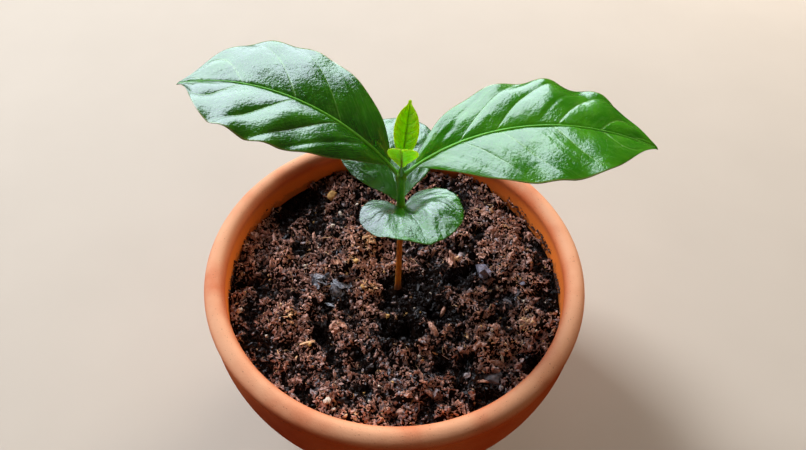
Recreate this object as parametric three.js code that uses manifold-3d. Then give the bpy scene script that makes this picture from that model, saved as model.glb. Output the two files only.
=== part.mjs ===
// A coffee seedling in a round terracotta pot, at its real size in millimetres.
// +Z is up, +X is to the right and +Y points away from the viewer.
// The origin is the centre of the pot's flat underside.

import * as THREE from 'three';
import { mergeVertices } from 'three/addons/utils/BufferGeometryUtils.js';
import Module from 'manifold-3d';

const wasm = await Module();
wasm.setup();

// Driving dimensions, in millimetres and degrees

const CLEARANCE = 0.3; // left between two pieces that touch
const TURNED_SIDES = 48; // facets round the pot and the soil

const POT = {
  rimRadius: 75, // to the outside of the rolled lip
  height: 84,
  lipRadius: 3.9, // of the lip's round section
  bellyRadius: 74.5,
  bellyHeight: 70, // above this the wall is upright
  footRadius: 39,
  footRounding: 1.5,
  wall: 7,
  floor: 8,
  outsideSteps: 9,
  insideSteps: 6,
  drainRadius: 4.5,
  drainCircle: 18,
  drains: 3,
};

const SOIL = {
  height: 70.1, // of the surface at the wall
  hollowDepth: 2.75, // of the dip that the stem stands in
  hollowRadius: 13,
  flatRadius: 3, // level round the stem
  ringSteps: 8,
};

// Low heaps and dips in the soil: centre, rise and spread
const HEAPS = [
  { x: -14, y: 16, rise: 2.2, spread: 13 },
  { x: -40, y: 2, rise: 1.6, spread: 15 },
  { x: 34, y: 26, rise: 1.8, spread: 16 },
  { x: 18, y: -42, rise: 1.7, spread: 15 },
  { x: -24, y: -34, rise: 1.4, spread: 13 },
  { x: 16, y: -14, rise: -2.4, spread: 8 },
  { x: 30, y: 8, rise: -1.6, spread: 7 },
  { x: -22, y: -6, rise: -1.3, spread: 9 },
];

const STEM = {
  x: 1.1,
  y: -1.3,
  cotyledonHeight: 51, // of the lower node above the soil
  leafHeight: 65.6, // of the upper node above the soil
  footRadius: 1.35,
  lowerRadius: 1.0, // of the old stem below the cotyledons
  upperRadius: 1.2, // of the green stem above them
  lowerNodeRadius: 1.7,
  upperNodeRadius: 1.9,
  nodeHalfHeight: 2.2,
  tipLength: 1.8, // above the upper node
  tipRadius: 1.1,
  sides: 12,
};

// A leaf follows its midrib. heading is the compass angle at mid-length, from
// +X towards +Y, and turn is how far it swings from base to tip. rise is the
// slope at the base, droop and lift change it along the leaf, and roll and
// twist tip the blade about the midrib. left and right are half widths, fold
// is how far each half is raised, and curl is how far its edge drops again.
// veins are where the side veins leave the midrib, as shares of the length, and
// the blade bulges by quilt between them. wave is how far each edge goes up and
// down near the tip, with a crest at that share of the length, and the next one
// a spacing further on.

const LEAVES = {
  leaf_left: {
    length: 87, petiole: 0.06, thickness: 0.9, rib: 0.8, petioleRadius: 1.15,
    heading: 164, turn: 18, rise: 47, droop: -63.5, lift: -3, roll: -8, twist: 14,
    left: 23, right: 24, swell: 1.0, taper: 0.75, point: 0.8,
    foldLeft: 11, foldRight: 16.5, curl: 0.35,
    veins: [0.13, 0.31, 0.505, 0.72, 0.88], veinSlant: 0.28, quilt: 1.3,
    wave: { left: 0.8, right: 0.8, crest: 0.4, spacing: 0.2 },
    lengthSteps: 30, widthSteps: 8,
  },
  leaf_right: {
    length: 90, petiole: 0.06, thickness: 0.9, rib: 0.8, petioleRadius: 1.15,
    heading: 1, turn: -25, rise: 45.5, droop: -80, lift: 15, roll: 20, twist: -31,
    left: 23.4, right: 22.5, swell: 1.1, taper: 0.85, point: 0.55,
    foldLeft: 10.5, foldRight: 8.5, curl: 0.25,
    veins: [0.13, 0.26, 0.4, 0.61, 0.78, 0.9], veinSlant: 0.25, quilt: 1.3,
    wave: { left: 2.2, right: 0.8, crest: 0.6, spacing: 0.19 },
    lengthSteps: 30, widthSteps: 8,
  },
};

const YOUNG_LEAVES = {
  young_leaf_back: {
    length: 25, petiole: 0.22, thickness: 0.5, rib: 0.3, petioleRadius: 0.65,
    heading: 76, turn: 5, rise: 75, droop: -17.5, lift: 0, roll: 0, twist: 0,
    left: 4.1, right: 4.5, swell: 0.85, taper: 1.05, point: 0.45,
    foldLeft: 15, foldRight: 15, curl: 0.1,
    veins: [0.3, 0.46, 0.62, 0.78], veinSlant: 0.15, quilt: 0.15, wave: null,
    lengthSteps: 14, widthSteps: 4,
    startBehind: 0.8, startAbove: 2,
  },
  young_leaf_front: {
    length: 24.5, petiole: 0.3, thickness: 0.5, rib: 0.3, petioleRadius: 0.65,
    heading: -91, turn: -9, rise: 75, droop: -25, lift: 4, roll: -2, twist: 1,
    left: 5.5, right: 4.8, swell: 0.67, taper: 0.77, point: 0.47,
    foldLeft: 14, foldRight: 15.5, curl: 0.1,
    veins: [0.4, 0.55, 0.7, 0.84], veinSlant: 0.15, quilt: 0.15, wave: null,
    lengthSteps: 14, widthSteps: 4,
    startBehind: -0.8, startAbove: 2,
  },
};

// A cotyledon is a round plate. reach and spread are its half length and half
// width, notch draws its edge in to the stalk (or out to it, below zero), and
// drop lowers each half towards its edge.

const COTYLEDONS = {
  cotyledon_front: {
    petiole: 1.1, petioleRadius: 0.8, thickness: 0.6,
    heading: -69, rise: 24, roll: -7,
    reach: 17.4, spread: 17.8, notch: 6.6, notchWidth: 5.2, skew: 0, point: 0.2,
    foldLeft: 24.5, foldRight: 25.5, dropLeft: 0.13, dropRight: 0.36, sag: 0.02, wind: 0.08,
  },
  cotyledon_back: {
    petiole: 2.1, petioleRadius: 0.8, thickness: 0.6,
    heading: 102.5, rise: 19, roll: -2,
    reach: 17.1, spread: 18.2, notch: -3.2, notchWidth: 4.6, skew: 0.08, point: 0.6,
    foldLeft: 19, foldRight: 19, dropLeft: 0.15, dropRight: 0.15, sag: 0.07, wind: 0.03,
  },
};

const BLADE = {
  midribSteps: 48,
  tipHalfWidth: 0.35, // so that a leaf ends in a small flat, not an edge
  tipShare: 0.12, // of the length, over which the point is drawn out
  ribHalfWidth: 1.5, // of the ridge under the midrib
  slantEasing: 0.45, // the side veins lean less towards the tip
  reliefStart: 0.25, // share of the half width where the bulges reach their height
  reliefEnds: 8, // how fast bulges and waves grow from the base and the tip
  bulgeRoundness: 0.8,
};
const PLATE = { rings: 4, sectors: 36, pointWidth: 2.5, stalkLap: 3 };
const PETIOLE = { sides: 6, steps: 5, lap: 0.05, lowered: 0.6 };

const FINISHES = {
  terracotta: { color: 0xc4714c, roughness: 0.85 },
  soil: { color: 0x3b2418, roughness: 0.95 },
  stem: { color: 0x7d8a3a, roughness: 0.55 },
  leaf: { color: 0x2f7a2c, roughness: 0.3 },
  cotyledon: { color: 0x3f8046, roughness: 0.35 },
  young_leaf: { color: 0x86bf2a, roughness: 0.4 },
};

// Solids

function solidFrom(geometry) {
  const bare = geometry.clone();
  bare.deleteAttribute('normal');
  bare.deleteAttribute('uv');
  const merged = mergeVertices(bare, 1e-4);
  return new wasm.Manifold(new wasm.Mesh({
    numProp: 3,
    vertProperties: new Float32Array(merged.attributes.position.array),
    triVerts: new Uint32Array(merged.index.array),
  }));
}

function geometryFrom(solid) {
  const mesh = solid.getMesh();
  const geometry = new THREE.BufferGeometry();
  geometry.setAttribute('position', new THREE.BufferAttribute(mesh.vertProperties, 3));
  geometry.setIndex(new THREE.BufferAttribute(mesh.triVerts, 1));
  geometry.computeVertexNormals();
  return geometry;
}

function turned(profile, sides) {
  return new THREE.LatheGeometry(profile, sides).rotateX(Math.PI / 2);
}

function reshape(geometry, place) {
  const positions = geometry.attributes.position;
  const point = new THREE.Vector3();
  for (let i = 0; i < positions.count; i += 1) {
    point.fromBufferAttribute(positions, i);
    positions.setXYZ(i, ...place(point).toArray());
  }
  return geometry;
}

function named(name, geometry, finish) {
  const mesh = new THREE.Mesh(geometry, new THREE.MeshStandardMaterial(FINISHES[finish]));
  mesh.name = name;
  return mesh;
}

// The pot

const lipCentre = new THREE.Vector2(POT.rimRadius - POT.lipRadius, POT.height - POT.lipRadius);

function wallRadius(height) {
  const below = Math.max(0, 1 - height / POT.bellyHeight);
  return POT.bellyRadius - (POT.bellyRadius - POT.footRadius) * below ** 2;
}

function bowlRadius(height) {
  return wallRadius(height) - POT.wall;
}

// Heights from low to high, set closer together near the foot
function wallHeights(low, high, steps) {
  const heights = [];
  for (let i = 0; i <= steps; i += 1) {
    heights.push(low + (high - low) * (i / steps) ** 1.15);
  }
  return heights;
}

// The inside wall, in the same steps for the pot and for the soil that lies on it
function insideHeights() {
  const soilWall = wallHeights(POT.floor, SOIL.height, POT.insideSteps);
  return [...soilWall, lipCentre.y - POT.lipRadius];
}

function lipArc() {
  const arc = new THREE.Path();
  arc.absarc(lipCentre.x, lipCentre.y, POT.lipRadius, -Math.PI / 7, Math.PI * 1.08);
  return arc.getPoints(8);
}

function potGeometry() {
  const point = (radius, height) => new THREE.Vector2(radius, height);
  const neck = lipCentre.y - POT.lipRadius;
  const outside = wallHeights(POT.footRounding, neck, POT.outsideSteps)
    .map((height) => point(wallRadius(height), height));
  const inside = insideHeights()
    .map((height) => point(bowlRadius(height), height))
    .reverse();
  const shell = solidFrom(turned([
    point(0, 0),
    point(POT.footRadius - POT.footRounding, 0),
    ...outside,
    ...lipArc(),
    ...inside,
    point(0, POT.floor),
  ], TURNED_SIDES));
  let pot = shell;
  for (let i = 0; i < POT.drains; i += 1) {
    const angle = (2 * Math.PI * (i + 0.5)) / POT.drains;
    const drill = new THREE.CylinderGeometry(POT.drainRadius, POT.drainRadius, 4 * POT.floor, 16);
    drill.rotateX(Math.PI / 2);
    drill.translate(POT.drainCircle * Math.cos(angle), POT.drainCircle * Math.sin(angle), 0);
    pot = pot.subtract(solidFrom(drill));
  }
  return geometryFrom(pot);
}

// The soil

function soilHeight(x, y) {
  const fromStem = Math.max(0, Math.hypot(x - STEM.x, y - STEM.y) - SOIL.flatRadius);
  const hollow = Math.exp(-((fromStem / SOIL.hollowRadius) ** 2));
  let relief = 0;
  for (const heap of HEAPS) {
    const away = Math.hypot(x - heap.x, y - heap.y) / heap.spread;
    relief += heap.rise * Math.exp(-(away ** 2));
  }
  return SOIL.height - SOIL.hollowDepth * hollow + relief * (1 - hollow);
}

function soilGeometry() {
  const point = (radius, height) => new THREE.Vector2(radius, height);
  const bottom = POT.floor + CLEARANCE;
  const side = insideHeights().slice(0, -1).map((height) => (
    point(bowlRadius(height) - CLEARANCE, Math.max(height, bottom))
  ));
  const edge = side.at(-1).x;
  const rings = [];
  for (let i = 1; i < SOIL.ringSteps; i += 1) {
    rings.push(point(edge * (1 - i / SOIL.ringSteps), SOIL.height));
  }
  const plug = turned([point(0, bottom), ...side, ...rings, point(0, SOIL.height)], TURNED_SIDES);
  return reshape(plug, (at) => {
    const surface = at.z > SOIL.height - 0.01;
    return surface ? at.setZ(soilHeight(at.x, at.y)) : at;
  });
}

// The stem, from its flat cut at the soil, with a swelling at each node

function stemProfile(grow) {
  const half = STEM.nodeHalfHeight;
  const lower = STEM.cotyledonHeight;
  const upper = STEM.leafHeight;
  const top = upper + STEM.tipLength;
  const outline = [
    [0, STEM.footRadius],
    [1.5, STEM.footRadius - 0.1],
    [6, (STEM.footRadius + STEM.lowerRadius) / 2],
    [lower / 2, STEM.lowerRadius + 0.05],
    [lower - half - 2, STEM.lowerRadius],
    [lower - half / 2, STEM.lowerNodeRadius - 0.3],
    [lower, STEM.lowerNodeRadius],
    [lower + half / 2, STEM.lowerNodeRadius - 0.3],
    [lower + half + 1, STEM.upperRadius],
    [upper - half - 1, STEM.upperRadius],
    [upper - half / 2, STEM.upperNodeRadius - 0.3],
    [upper, STEM.upperNodeRadius],
    [upper + half / 2, STEM.tipRadius + 0.3],
    [top - 0.3, STEM.tipRadius],
  ];
  const wall = outline.map(([height, radius]) => new THREE.Vector2(radius + grow, height));
  const tip = [
    new THREE.Vector2(STEM.tipRadius / 2 + grow, top + grow),
    new THREE.Vector2(0, top + grow),
  ];
  return [new THREE.Vector2(0, 0), ...wall, ...tip];
}

// The space that a leaf stalk keeps clear of, seen from a node at that height
function stemSpace(nodeHeight) {
  const space = turned(stemProfile(CLEARANCE), STEM.sides);
  return solidFrom(space.translate(0, 0, -nodeHeight));
}

// Leaves

function leafAxes(leaf, along) {
  const radians = THREE.MathUtils.degToRad;
  const heading = radians(leaf.heading + (leaf.turn ?? 0) * (along - 0.5));
  const rise = radians(leaf.rise + (leaf.droop ?? 0) * along + (leaf.lift ?? 0) * along ** 2);
  const roll = radians(leaf.roll + (leaf.twist ?? 0) * along);
  const forward = new THREE.Vector3(
    Math.cos(rise) * Math.cos(heading),
    Math.cos(rise) * Math.sin(heading),
    Math.sin(rise),
  );
  const left = new THREE.Vector3(-Math.sin(heading), Math.cos(heading), 0);
  left.applyAxisAngle(forward, roll);
  const normal = new THREE.Vector3().crossVectors(forward, left);
  return { forward, left, normal };
}

function midribOf(leaf) {
  const steps = BLADE.midribSteps;
  const at = new THREE.Vector3(0, leaf.startBehind ?? 0, leaf.startAbove ?? 0);
  const points = [at.clone()];
  for (let i = 0; i < steps; i += 1) {
    const { forward } = leafAxes(leaf, (i + 0.5) / steps);
    points.push(at.addScaledVector(forward, leaf.length / steps).clone());
  }
  return new THREE.CatmullRomCurve3(points);
}

function halfWidth(leaf, along, side) {
  const share = Math.min(1, Math.max(0, (along - leaf.petiole) / (1 - leaf.petiole)));
  const { swell, taper } = leaf;
  const widest = (swell / (swell + taper)) ** swell * (taper / (swell + taper)) ** taper;
  const oval = (share ** swell * (1 - share) ** taper) / widest;
  const tip = 1 - leaf.point * Math.exp(-(((1 - share) / BLADE.tipShare) ** 2));
  return Math.max(BLADE.tipHalfWidth, side * oval * tip);
}

// Grows from 0 at the blade's base, and falls to 0 at its tip
function reliefAlong(leaf, along) {
  const fromBase = Math.max(0, along - leaf.petiole);
  return Math.min(1, BLADE.reliefEnds * (1 - along), BLADE.reliefEnds * fromBase);
}

// The blade bulges up between its side veins, which slant towards the tip
function bulge(leaf, along, across) {
  const slant = leaf.veinSlant * (1 - BLADE.slantEasing * along);
  const place = along - slant * Math.abs(across);
  const lines = [leaf.petiole, ...leaf.veins, 1];
  const i = Math.max(0, lines.slice(0, -1).findLastIndex((line) => line <= place));
  const share = THREE.MathUtils.clamp((place - lines[i]) / (lines[i + 1] - lines[i]), 0, 1);
  const fromMidrib = 1 - Math.exp(-((across / BLADE.reliefStart) ** 2));
  return leaf.quilt * Math.sin(Math.PI * share) ** BLADE.bulgeRoundness * fromMidrib;
}

function edgeWave(leaf, along, across) {
  if (!leaf.wave) return 0;
  const { left, right, crest, spacing } = leaf.wave;
  const height = (across > 0 ? left : right) * along;
  return height * Math.cos((2 * Math.PI * (along - crest)) / spacing) * Math.abs(across) ** 3;
}

function bladeGeometry(leaf, midrib) {
  const block = new THREE.BoxGeometry(1, 1, 1, leaf.lengthSteps, leaf.widthSteps, 1);
  return reshape(block, (at) => {
    const along = leaf.petiole + (1 - leaf.petiole) * (at.x + 0.5);
    const across = 2 * at.y;
    const side = across > 0 ? leaf.left : leaf.right;
    const fold = THREE.MathUtils.degToRad(across > 0 ? leaf.foldLeft : leaf.foldRight);
    const out = Math.abs(across) * halfWidth(leaf, along, side);
    const rib = leaf.rib * Math.exp(-((out / BLADE.ribHalfWidth) ** 2)) * (1 - along);
    const under = at.z > 0 ? 0 : leaf.thickness + rib;
    const relief = bulge(leaf, along, across) + edgeWave(leaf, along, across);
    const rise = out * Math.sin(fold) - (leaf.curl * out ** 2) / side
      + relief * reliefAlong(leaf, along);
    const { left, normal } = leafAxes(leaf, along);
    return midrib.getPoint(along)
      .addScaledVector(left, Math.sign(across) * out * Math.cos(fold))
      .addScaledVector(normal, rise - under);
  });
}

function stalkGeometry(path, radius) {
  const section = new THREE.Shape();
  section.absarc(0, 0, radius, 0, 2 * Math.PI);
  return new THREE.ExtrudeGeometry(section, {
    steps: PETIOLE.steps,
    curveSegments: PETIOLE.sides,
    extrudePath: path,
  });
}

function leafGeometry(leaf, nodeHeight) {
  const midrib = midribOf(leaf);
  const stalkPoints = [];
  for (let i = 0; i <= PETIOLE.steps; i += 1) {
    const along = (i / PETIOLE.steps) * (leaf.petiole + PETIOLE.lap);
    const { normal } = leafAxes(leaf, along);
    const lowered = -leaf.petioleRadius * PETIOLE.lowered;
    stalkPoints.push(midrib.getPoint(along).addScaledVector(normal, lowered));
  }
  const stalk = stalkGeometry(new THREE.CatmullRomCurve3(stalkPoints), leaf.petioleRadius);
  const whole = solidFrom(bladeGeometry(leaf, midrib)).add(solidFrom(stalk));
  return geometryFrom(whole.subtract(stemSpace(nodeHeight)));
}

// Cotyledons

function plateGeometry() {
  const rim = [];
  for (let i = 0; i <= PLATE.rings; i += 1) rim.push(i / PLATE.rings);
  const under = rim.map((radius) => new THREE.Vector2(radius, -1));
  const upper = rim.map((radius) => new THREE.Vector2(radius, 0)).reverse();
  return turned([...under, ...upper], PLATE.sectors);
}

function cotyledonGeometry(leaf, nodeHeight) {
  const { forward, left, normal } = leafAxes(leaf, 0);
  const centre = leaf.reach - leaf.notch;
  const place = (x, y, z) => new THREE.Vector3()
    .addScaledVector(forward, leaf.petiole + x)
    .addScaledVector(left, y)
    .addScaledVector(normal, z);
  const plate = reshape(plateGeometry(), (at) => {
    const angle = Math.atan2(at.y, at.x);
    const radius = Math.hypot(at.x, at.y);
    const edgeY = leaf.spread * Math.sin(angle) * (1 + leaf.skew * Math.cos(angle));
    const drawnIn = leaf.notch * Math.exp(-((edgeY / leaf.notchWidth) ** 2));
    const drawnOut = leaf.point * Math.exp(-((edgeY / PLATE.pointWidth) ** 2));
    const edgeX = leaf.reach * Math.cos(angle)
      + drawnIn * Math.max(-Math.cos(angle), 0)
      + drawnOut * Math.max(Math.cos(angle), 0);
    const x = centre + edgeX * radius;
    const y = edgeY * radius;
    const fold = THREE.MathUtils.degToRad(y > 0 ? leaf.foldLeft : leaf.foldRight);
    const drop = y > 0 ? leaf.dropLeft : leaf.dropRight;
    const height = Math.tan(fold) * (Math.sqrt(y * y + 1) - 1)
      - (drop * y * y) / leaf.spread
      - (leaf.sag * x * x) / leaf.reach
      + (leaf.wind * x * y) / leaf.spread;
    return place(x, y, height + at.z * leaf.thickness);
  });
  const stalkStart = place(-leaf.petiole, 0, -leaf.thickness / 2);
  const stalkEnd = place(PLATE.stalkLap, 0, -leaf.thickness / 2);
  const stalk = stalkGeometry(new THREE.LineCurve3(stalkStart, stalkEnd), leaf.petioleRadius);
  const whole = solidFrom(plate).add(solidFrom(stalk));
  return geometryFrom(whole.subtract(stemSpace(nodeHeight)));
}

// The whole plant

const group = new THREE.Group();
group.add(named('pot', potGeometry(), 'terracotta'));
group.add(named('soil', soilGeometry(), 'soil'));

const seedling = new THREE.Group();
seedling.position.set(STEM.x, STEM.y, soilHeight(STEM.x, STEM.y) + CLEARANCE);
seedling.add(named('stem', turned(stemProfile(0), STEM.sides), 'stem'));
group.add(seedling);

const lowerNode = new THREE.Group();
lowerNode.position.z = STEM.cotyledonHeight;
for (const [name, leaf] of Object.entries(COTYLEDONS)) {
  lowerNode.add(named(name, cotyledonGeometry(leaf, STEM.cotyledonHeight), 'cotyledon'));
}
seedling.add(lowerNode);

const upperNode = new THREE.Group();
upperNode.position.z = STEM.leafHeight;
for (const [name, leaf] of Object.entries(LEAVES)) {
  upperNode.add(named(name, leafGeometry(leaf, STEM.leafHeight), 'leaf'));
}
for (const [name, leaf] of Object.entries(YOUNG_LEAVES)) {
  upperNode.add(named(name, leafGeometry(leaf, STEM.leafHeight), 'young_leaf'));
}
seedling.add(upperNode);

export default group;
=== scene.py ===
# %% [markdown]
# # A coffee seedling in a terracotta pot
# The solids of the pot, the soil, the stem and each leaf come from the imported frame, at their
# real size. This lesson dresses them: each solid is replaced by a finer mesh in the same place,
# made by the same rule, with a finish built from nodes. The axes are +X to the right,
# +Y away from the viewer and +Z up, and the origin is under the middle of the pot.

# %% Load the frame
from dataclasses import dataclass

import bmesh
import bpy
import numpy as np
from mathutils import Matrix, Vector


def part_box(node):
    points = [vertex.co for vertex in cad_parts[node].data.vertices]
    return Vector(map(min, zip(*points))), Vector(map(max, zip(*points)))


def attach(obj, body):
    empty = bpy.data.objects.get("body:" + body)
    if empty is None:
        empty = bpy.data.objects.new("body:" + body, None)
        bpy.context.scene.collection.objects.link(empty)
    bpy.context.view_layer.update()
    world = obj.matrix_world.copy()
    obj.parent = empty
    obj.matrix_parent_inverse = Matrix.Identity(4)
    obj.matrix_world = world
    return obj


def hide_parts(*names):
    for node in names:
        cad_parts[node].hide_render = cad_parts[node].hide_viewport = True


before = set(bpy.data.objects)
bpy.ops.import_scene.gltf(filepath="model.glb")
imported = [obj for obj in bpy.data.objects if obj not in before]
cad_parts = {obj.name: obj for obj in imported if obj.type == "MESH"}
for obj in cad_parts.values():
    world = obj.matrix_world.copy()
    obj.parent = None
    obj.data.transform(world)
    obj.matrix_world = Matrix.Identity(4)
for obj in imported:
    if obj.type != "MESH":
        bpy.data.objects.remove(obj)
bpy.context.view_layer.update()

MM = 0.001  # the sizes below are written in millimetres and turned to metres with this
print("nodes:", sorted(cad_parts))

# %% [markdown]
# The camera stands where the photograph was taken from: 16 cm in front of the pot's middle and
# 30 cm above the floor, looking down by 50 degrees with a slight roll. The ellipse of the rim
# gives its tilt and distance, and the focal length follows, in pixels of an 806 pixel frame.

# %% Place the camera
PHOTO_WIDTH = 806
FOCAL_PIXELS = 680
SENSOR_WIDTH = 36
CAMERA_AT = (0, -162.5, 299.5)
CAMERA_LOOKS = (0.00947, 0.64373, -0.76519)
CAMERA_ROLL = 2.07


def aimed(at, direction, roll=0):
    """The matrix of a camera or lamp at a point in millimetres, looking that way."""
    turn = Vector(direction).to_track_quat("-Z", "Y").to_matrix().to_4x4()
    return Matrix.Translation(Vector(at) * MM) @ turn @ Matrix.Rotation(np.radians(roll), 4, "Z")


camera = bpy.data.objects.new("camera", bpy.data.cameras.new("camera"))
bpy.context.scene.collection.objects.link(camera)
camera.data.sensor_width = SENSOR_WIDTH
camera.data.lens = SENSOR_WIDTH * FOCAL_PIXELS / PHOTO_WIDTH
camera.data.clip_start = 0.01
camera.matrix_world = aimed(CAMERA_AT, CAMERA_LOOKS, CAMERA_ROLL)
bpy.context.scene.camera = camera
print("lens", round(camera.data.lens, 2), "mm")

# %% [markdown]
# A glossy leaf shows what it mirrors, so the lights matter as much as the green. In the
# photograph every slope that faces back and to the left shines pale, up to about 70 degrees,
# and every slope that faces the front stays deep green. So a tall upright panel stands close
# behind the plant, turned by 33 degrees, and is there for the shine alone. A smaller panel
# higher up on the same side models the forms and the crumbs. A low one behind on the right
# reaches the inside of the pot's left wall, and a weak warm one in front fills the shade. No
# panel shows to the camera, and the standard view keeps the colours.

# %% Set the lights
LAMPS = {
    "shine_light": {
        "at": (-495, 394, 880), "facing": (0.545, -0.839, 0), "size": (1800, 1500),
        "power": 31, "tint": (0.76, 0.87, 1.0), "diffuse": False,
    },
    "key_light": {
        "at": (-1080, 815, 1290), "facing": (0.6, -0.45, -0.66), "size": (700, 700),
        "power": 41, "tint": (1.0, 0.98, 0.95), "glossy": False,
    },
    "room_light": {
        "at": (500, -900, 900), "facing": (-0.4, 0.7, -0.6), "size": (900, 900),
        "power": 2.3, "tint": (1.0, 0.66, 0.42), "glossy": False,
    },
    "side_light": {
        "at": (560, 960, 400), "facing": (-0.48, -0.83, -0.28), "size": (500, 500),
        "power": 13, "tint": (1.0, 0.86, 0.72), "glossy": False,
    },
}


def soft_panel(name, at, facing, size, power, tint, diffuse=True, glossy=True):
    """A rectangular area lamp with its middle at a point in millimetres, shining that way."""
    light = bpy.data.lights.new(name, "AREA")
    light.shape = "RECTANGLE"
    light.size, light.size_y = (side * MM for side in size)
    light.energy = power
    light.color = tint
    lamp = bpy.data.objects.new(name, light)
    bpy.context.scene.collection.objects.link(lamp)
    lamp.matrix_world = aimed(at, facing)
    lamp.visible_camera = False
    lamp.visible_diffuse = diffuse
    lamp.visible_glossy = glossy


for name, settings in LAMPS.items():
    soft_panel(name, **settings)
bpy.context.scene.view_settings.view_transform = "Standard"
print("lamps:", list(LAMPS))

# %% [markdown]
# Finishes are built from nodes. A small class lets Python's operators work on a socket, so
# that the sums in a finish read as sums, and a second one adds any other node by its type. Both
# add nodes to the material's tree as they go, and nothing is worked out until it renders.

# %% A language for finishes
class Signal:
    """A socket that Python's operators work on."""

    def __init__(self, finish, socket):
        self.finish = finish
        self.socket = socket

    def maths(self, operation, *values):
        inputs = dict(enumerate(values))
        return self.finish.node("ShaderNodeMath", {"operation": operation}, inputs)["Value"]

    def __add__(self, other):
        return self.maths("ADD", self, other)

    def __sub__(self, other):
        return self.maths("SUBTRACT", self, other)

    def __rsub__(self, other):
        return self.maths("SUBTRACT", other, self)

    def __mul__(self, other):
        return self.maths("MULTIPLY", self, other)

    def __truediv__(self, other):
        return self.maths("DIVIDE", self, other)

    def __pow__(self, other):
        return self.maths("POWER", self, other)

    def __abs__(self):
        return self.maths("ABSOLUTE", self)

    __radd__ = __add__
    __rmul__ = __mul__


class Finish:
    """A material, or another tree, whose nodes are added one by one."""

    def __init__(self, name, tree=None):
        if tree is None:
            self.material = bpy.data.materials.new(name)
            self.material.use_nodes = True
            tree = self.material.node_tree
        self.tree = tree
        self.tree.nodes.clear()

    def node(self, kind, settings=None, inputs=None):
        """Adds a node, sets it up, fills its sockets and returns its outputs by name."""
        node = self.tree.nodes.new(kind)
        for name, value in (settings or {}).items():
            if name == "stops":
                self.set_stops(node.color_ramp, value)
            else:
                setattr(node, name, value)
        sockets = {socket.name: socket for socket in node.inputs if socket.enabled}
        for key, value in (inputs or {}).items():
            socket = node.inputs[key] if isinstance(key, int) else sockets[key]
            if isinstance(value, Signal):
                self.tree.links.new(value.socket, socket)
            else:
                socket.default_value = value
        return {output.name: Signal(self, output) for output in node.outputs if output.enabled}

    @staticmethod
    def set_stops(ramp, stops):
        """Stops of a ramp, each a place from 0 to 1 with a grey value."""
        while len(ramp.elements) < len(stops):
            ramp.elements.new(1)
        for element, (place, value) in zip(ramp.elements, stops):
            element.position = place
            element.color = (value, value, value, 1)


trial = Finish("trial")
print("sum of nodes:", (1 - trial.node("ShaderNodeTexCoord")["Object"] * 2).socket.node.bl_idname)
bpy.data.materials.remove(trial.material)

# %% [markdown]
# The room round the plant is a world of two plain backgrounds: a dim warm one that fills the
# shade, and a pale one that only the camera sees, behind the edge of the floor.

# %% Paint the room
ROOM_TINT = (1.0, 0.74, 0.52, 1)
ROOM_STRENGTH = 0.035
BACKDROP_TINT = (0.42, 0.38, 0.33, 1)

world = bpy.data.worlds.new("room")
world.use_nodes = True
room = Finish("room", world.node_tree)
fill = room.node("ShaderNodeBackground", None, {"Color": ROOM_TINT, "Strength": ROOM_STRENGTH})
behind = room.node("ShaderNodeBackground", None, {"Color": BACKDROP_TINT, "Strength": 1.0})
seen = room.node("ShaderNodeLightPath")["Is Camera Ray"]
sides = {0: seen, 1: fill["Background"], 2: behind["Background"]}
both = room.node("ShaderNodeMixShader", None, sides)["Shader"]
room.node("ShaderNodeOutputWorld", None, {"Surface": both})
bpy.context.scene.world = world
print("world nodes:", len(room.tree.nodes))

# %% [markdown]
# A few words of that language come back in every finish: a colour as it is seen on a screen,
# a place on the object in metres, noise with spots of a real size, a soft step from 0 to 1,
# a mix of two colours, and the surface that gathers them all.

# %% Words that the finishes share
def colour(red, green, blue):
    """A colour given as it shows on a screen, from 0 to 255, for a shader."""
    shown = np.array([red, green, blue]) / 255
    linear = np.where(shown <= 0.04045, shown / 12.92, ((shown + 0.055) / 1.055) ** 2.4)
    return (*linear.tolist(), 1)


def place_on(finish):
    return finish.node("ShaderNodeTexCoord")["Object"]


def parts_of(vector):
    """The three numbers of a vector."""
    parts = vector.finish.node("ShaderNodeSeparateXYZ", None, {"Vector": vector})
    return parts["X"], parts["Y"], parts["Z"]


def red_of(tint):
    return tint.finish.node("ShaderNodeSeparateColor", None, {"Color": tint})["Red"]


def stretched(vector, scale):
    """The vector with each direction multiplied by its own scale."""
    inputs = {0: vector, 1: scale}
    return vector.finish.node("ShaderNodeVectorMath", {"operation": "MULTIPLY"}, inputs)["Vector"]


def noise(vector, size, detail=2.0, roughness=0.5):
    """Soft spots from 0 to 1, about that many millimetres across."""
    inputs = {"Vector": vector, "Scale": 1 / (size * MM), "Detail": detail, "Roughness": roughness}
    return vector.finish.node("ShaderNodeTexNoise", None, inputs)["Fac"]


def step(value, low, high):
    """Rises smoothly from 0 at low to 1 at high, or falls where low is the higher."""
    settings = {"interpolation_type": "SMOOTHSTEP"}
    inputs = {"Value": value, "From Min": low, "From Max": high}
    return value.finish.node("ShaderNodeMapRange", settings, inputs)["Result"]


def mixed(share, first, second):
    """The first colour where share is 0 and the second where it is 1."""
    inputs = {"Factor": share, "A": first, "B": second}
    return share.finish.node("ShaderNodeMix", {"data_type": "RGBA"}, inputs)["Result"]


def specks(vector, spacing, radius, share):
    """1 in round specks of that radius, on about that share of points that far apart."""
    inputs = {"Vector": vector, "Scale": 1 / (spacing * MM)}
    cells = vector.finish.node("ShaderNodeTexVoronoi", None, inputs)
    spot = step(cells["Distance"], radius / spacing, 0.5 * radius / spacing)
    return spot * step(red_of(cells["Color"]), 1 - share, 1.02 - share)


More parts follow.
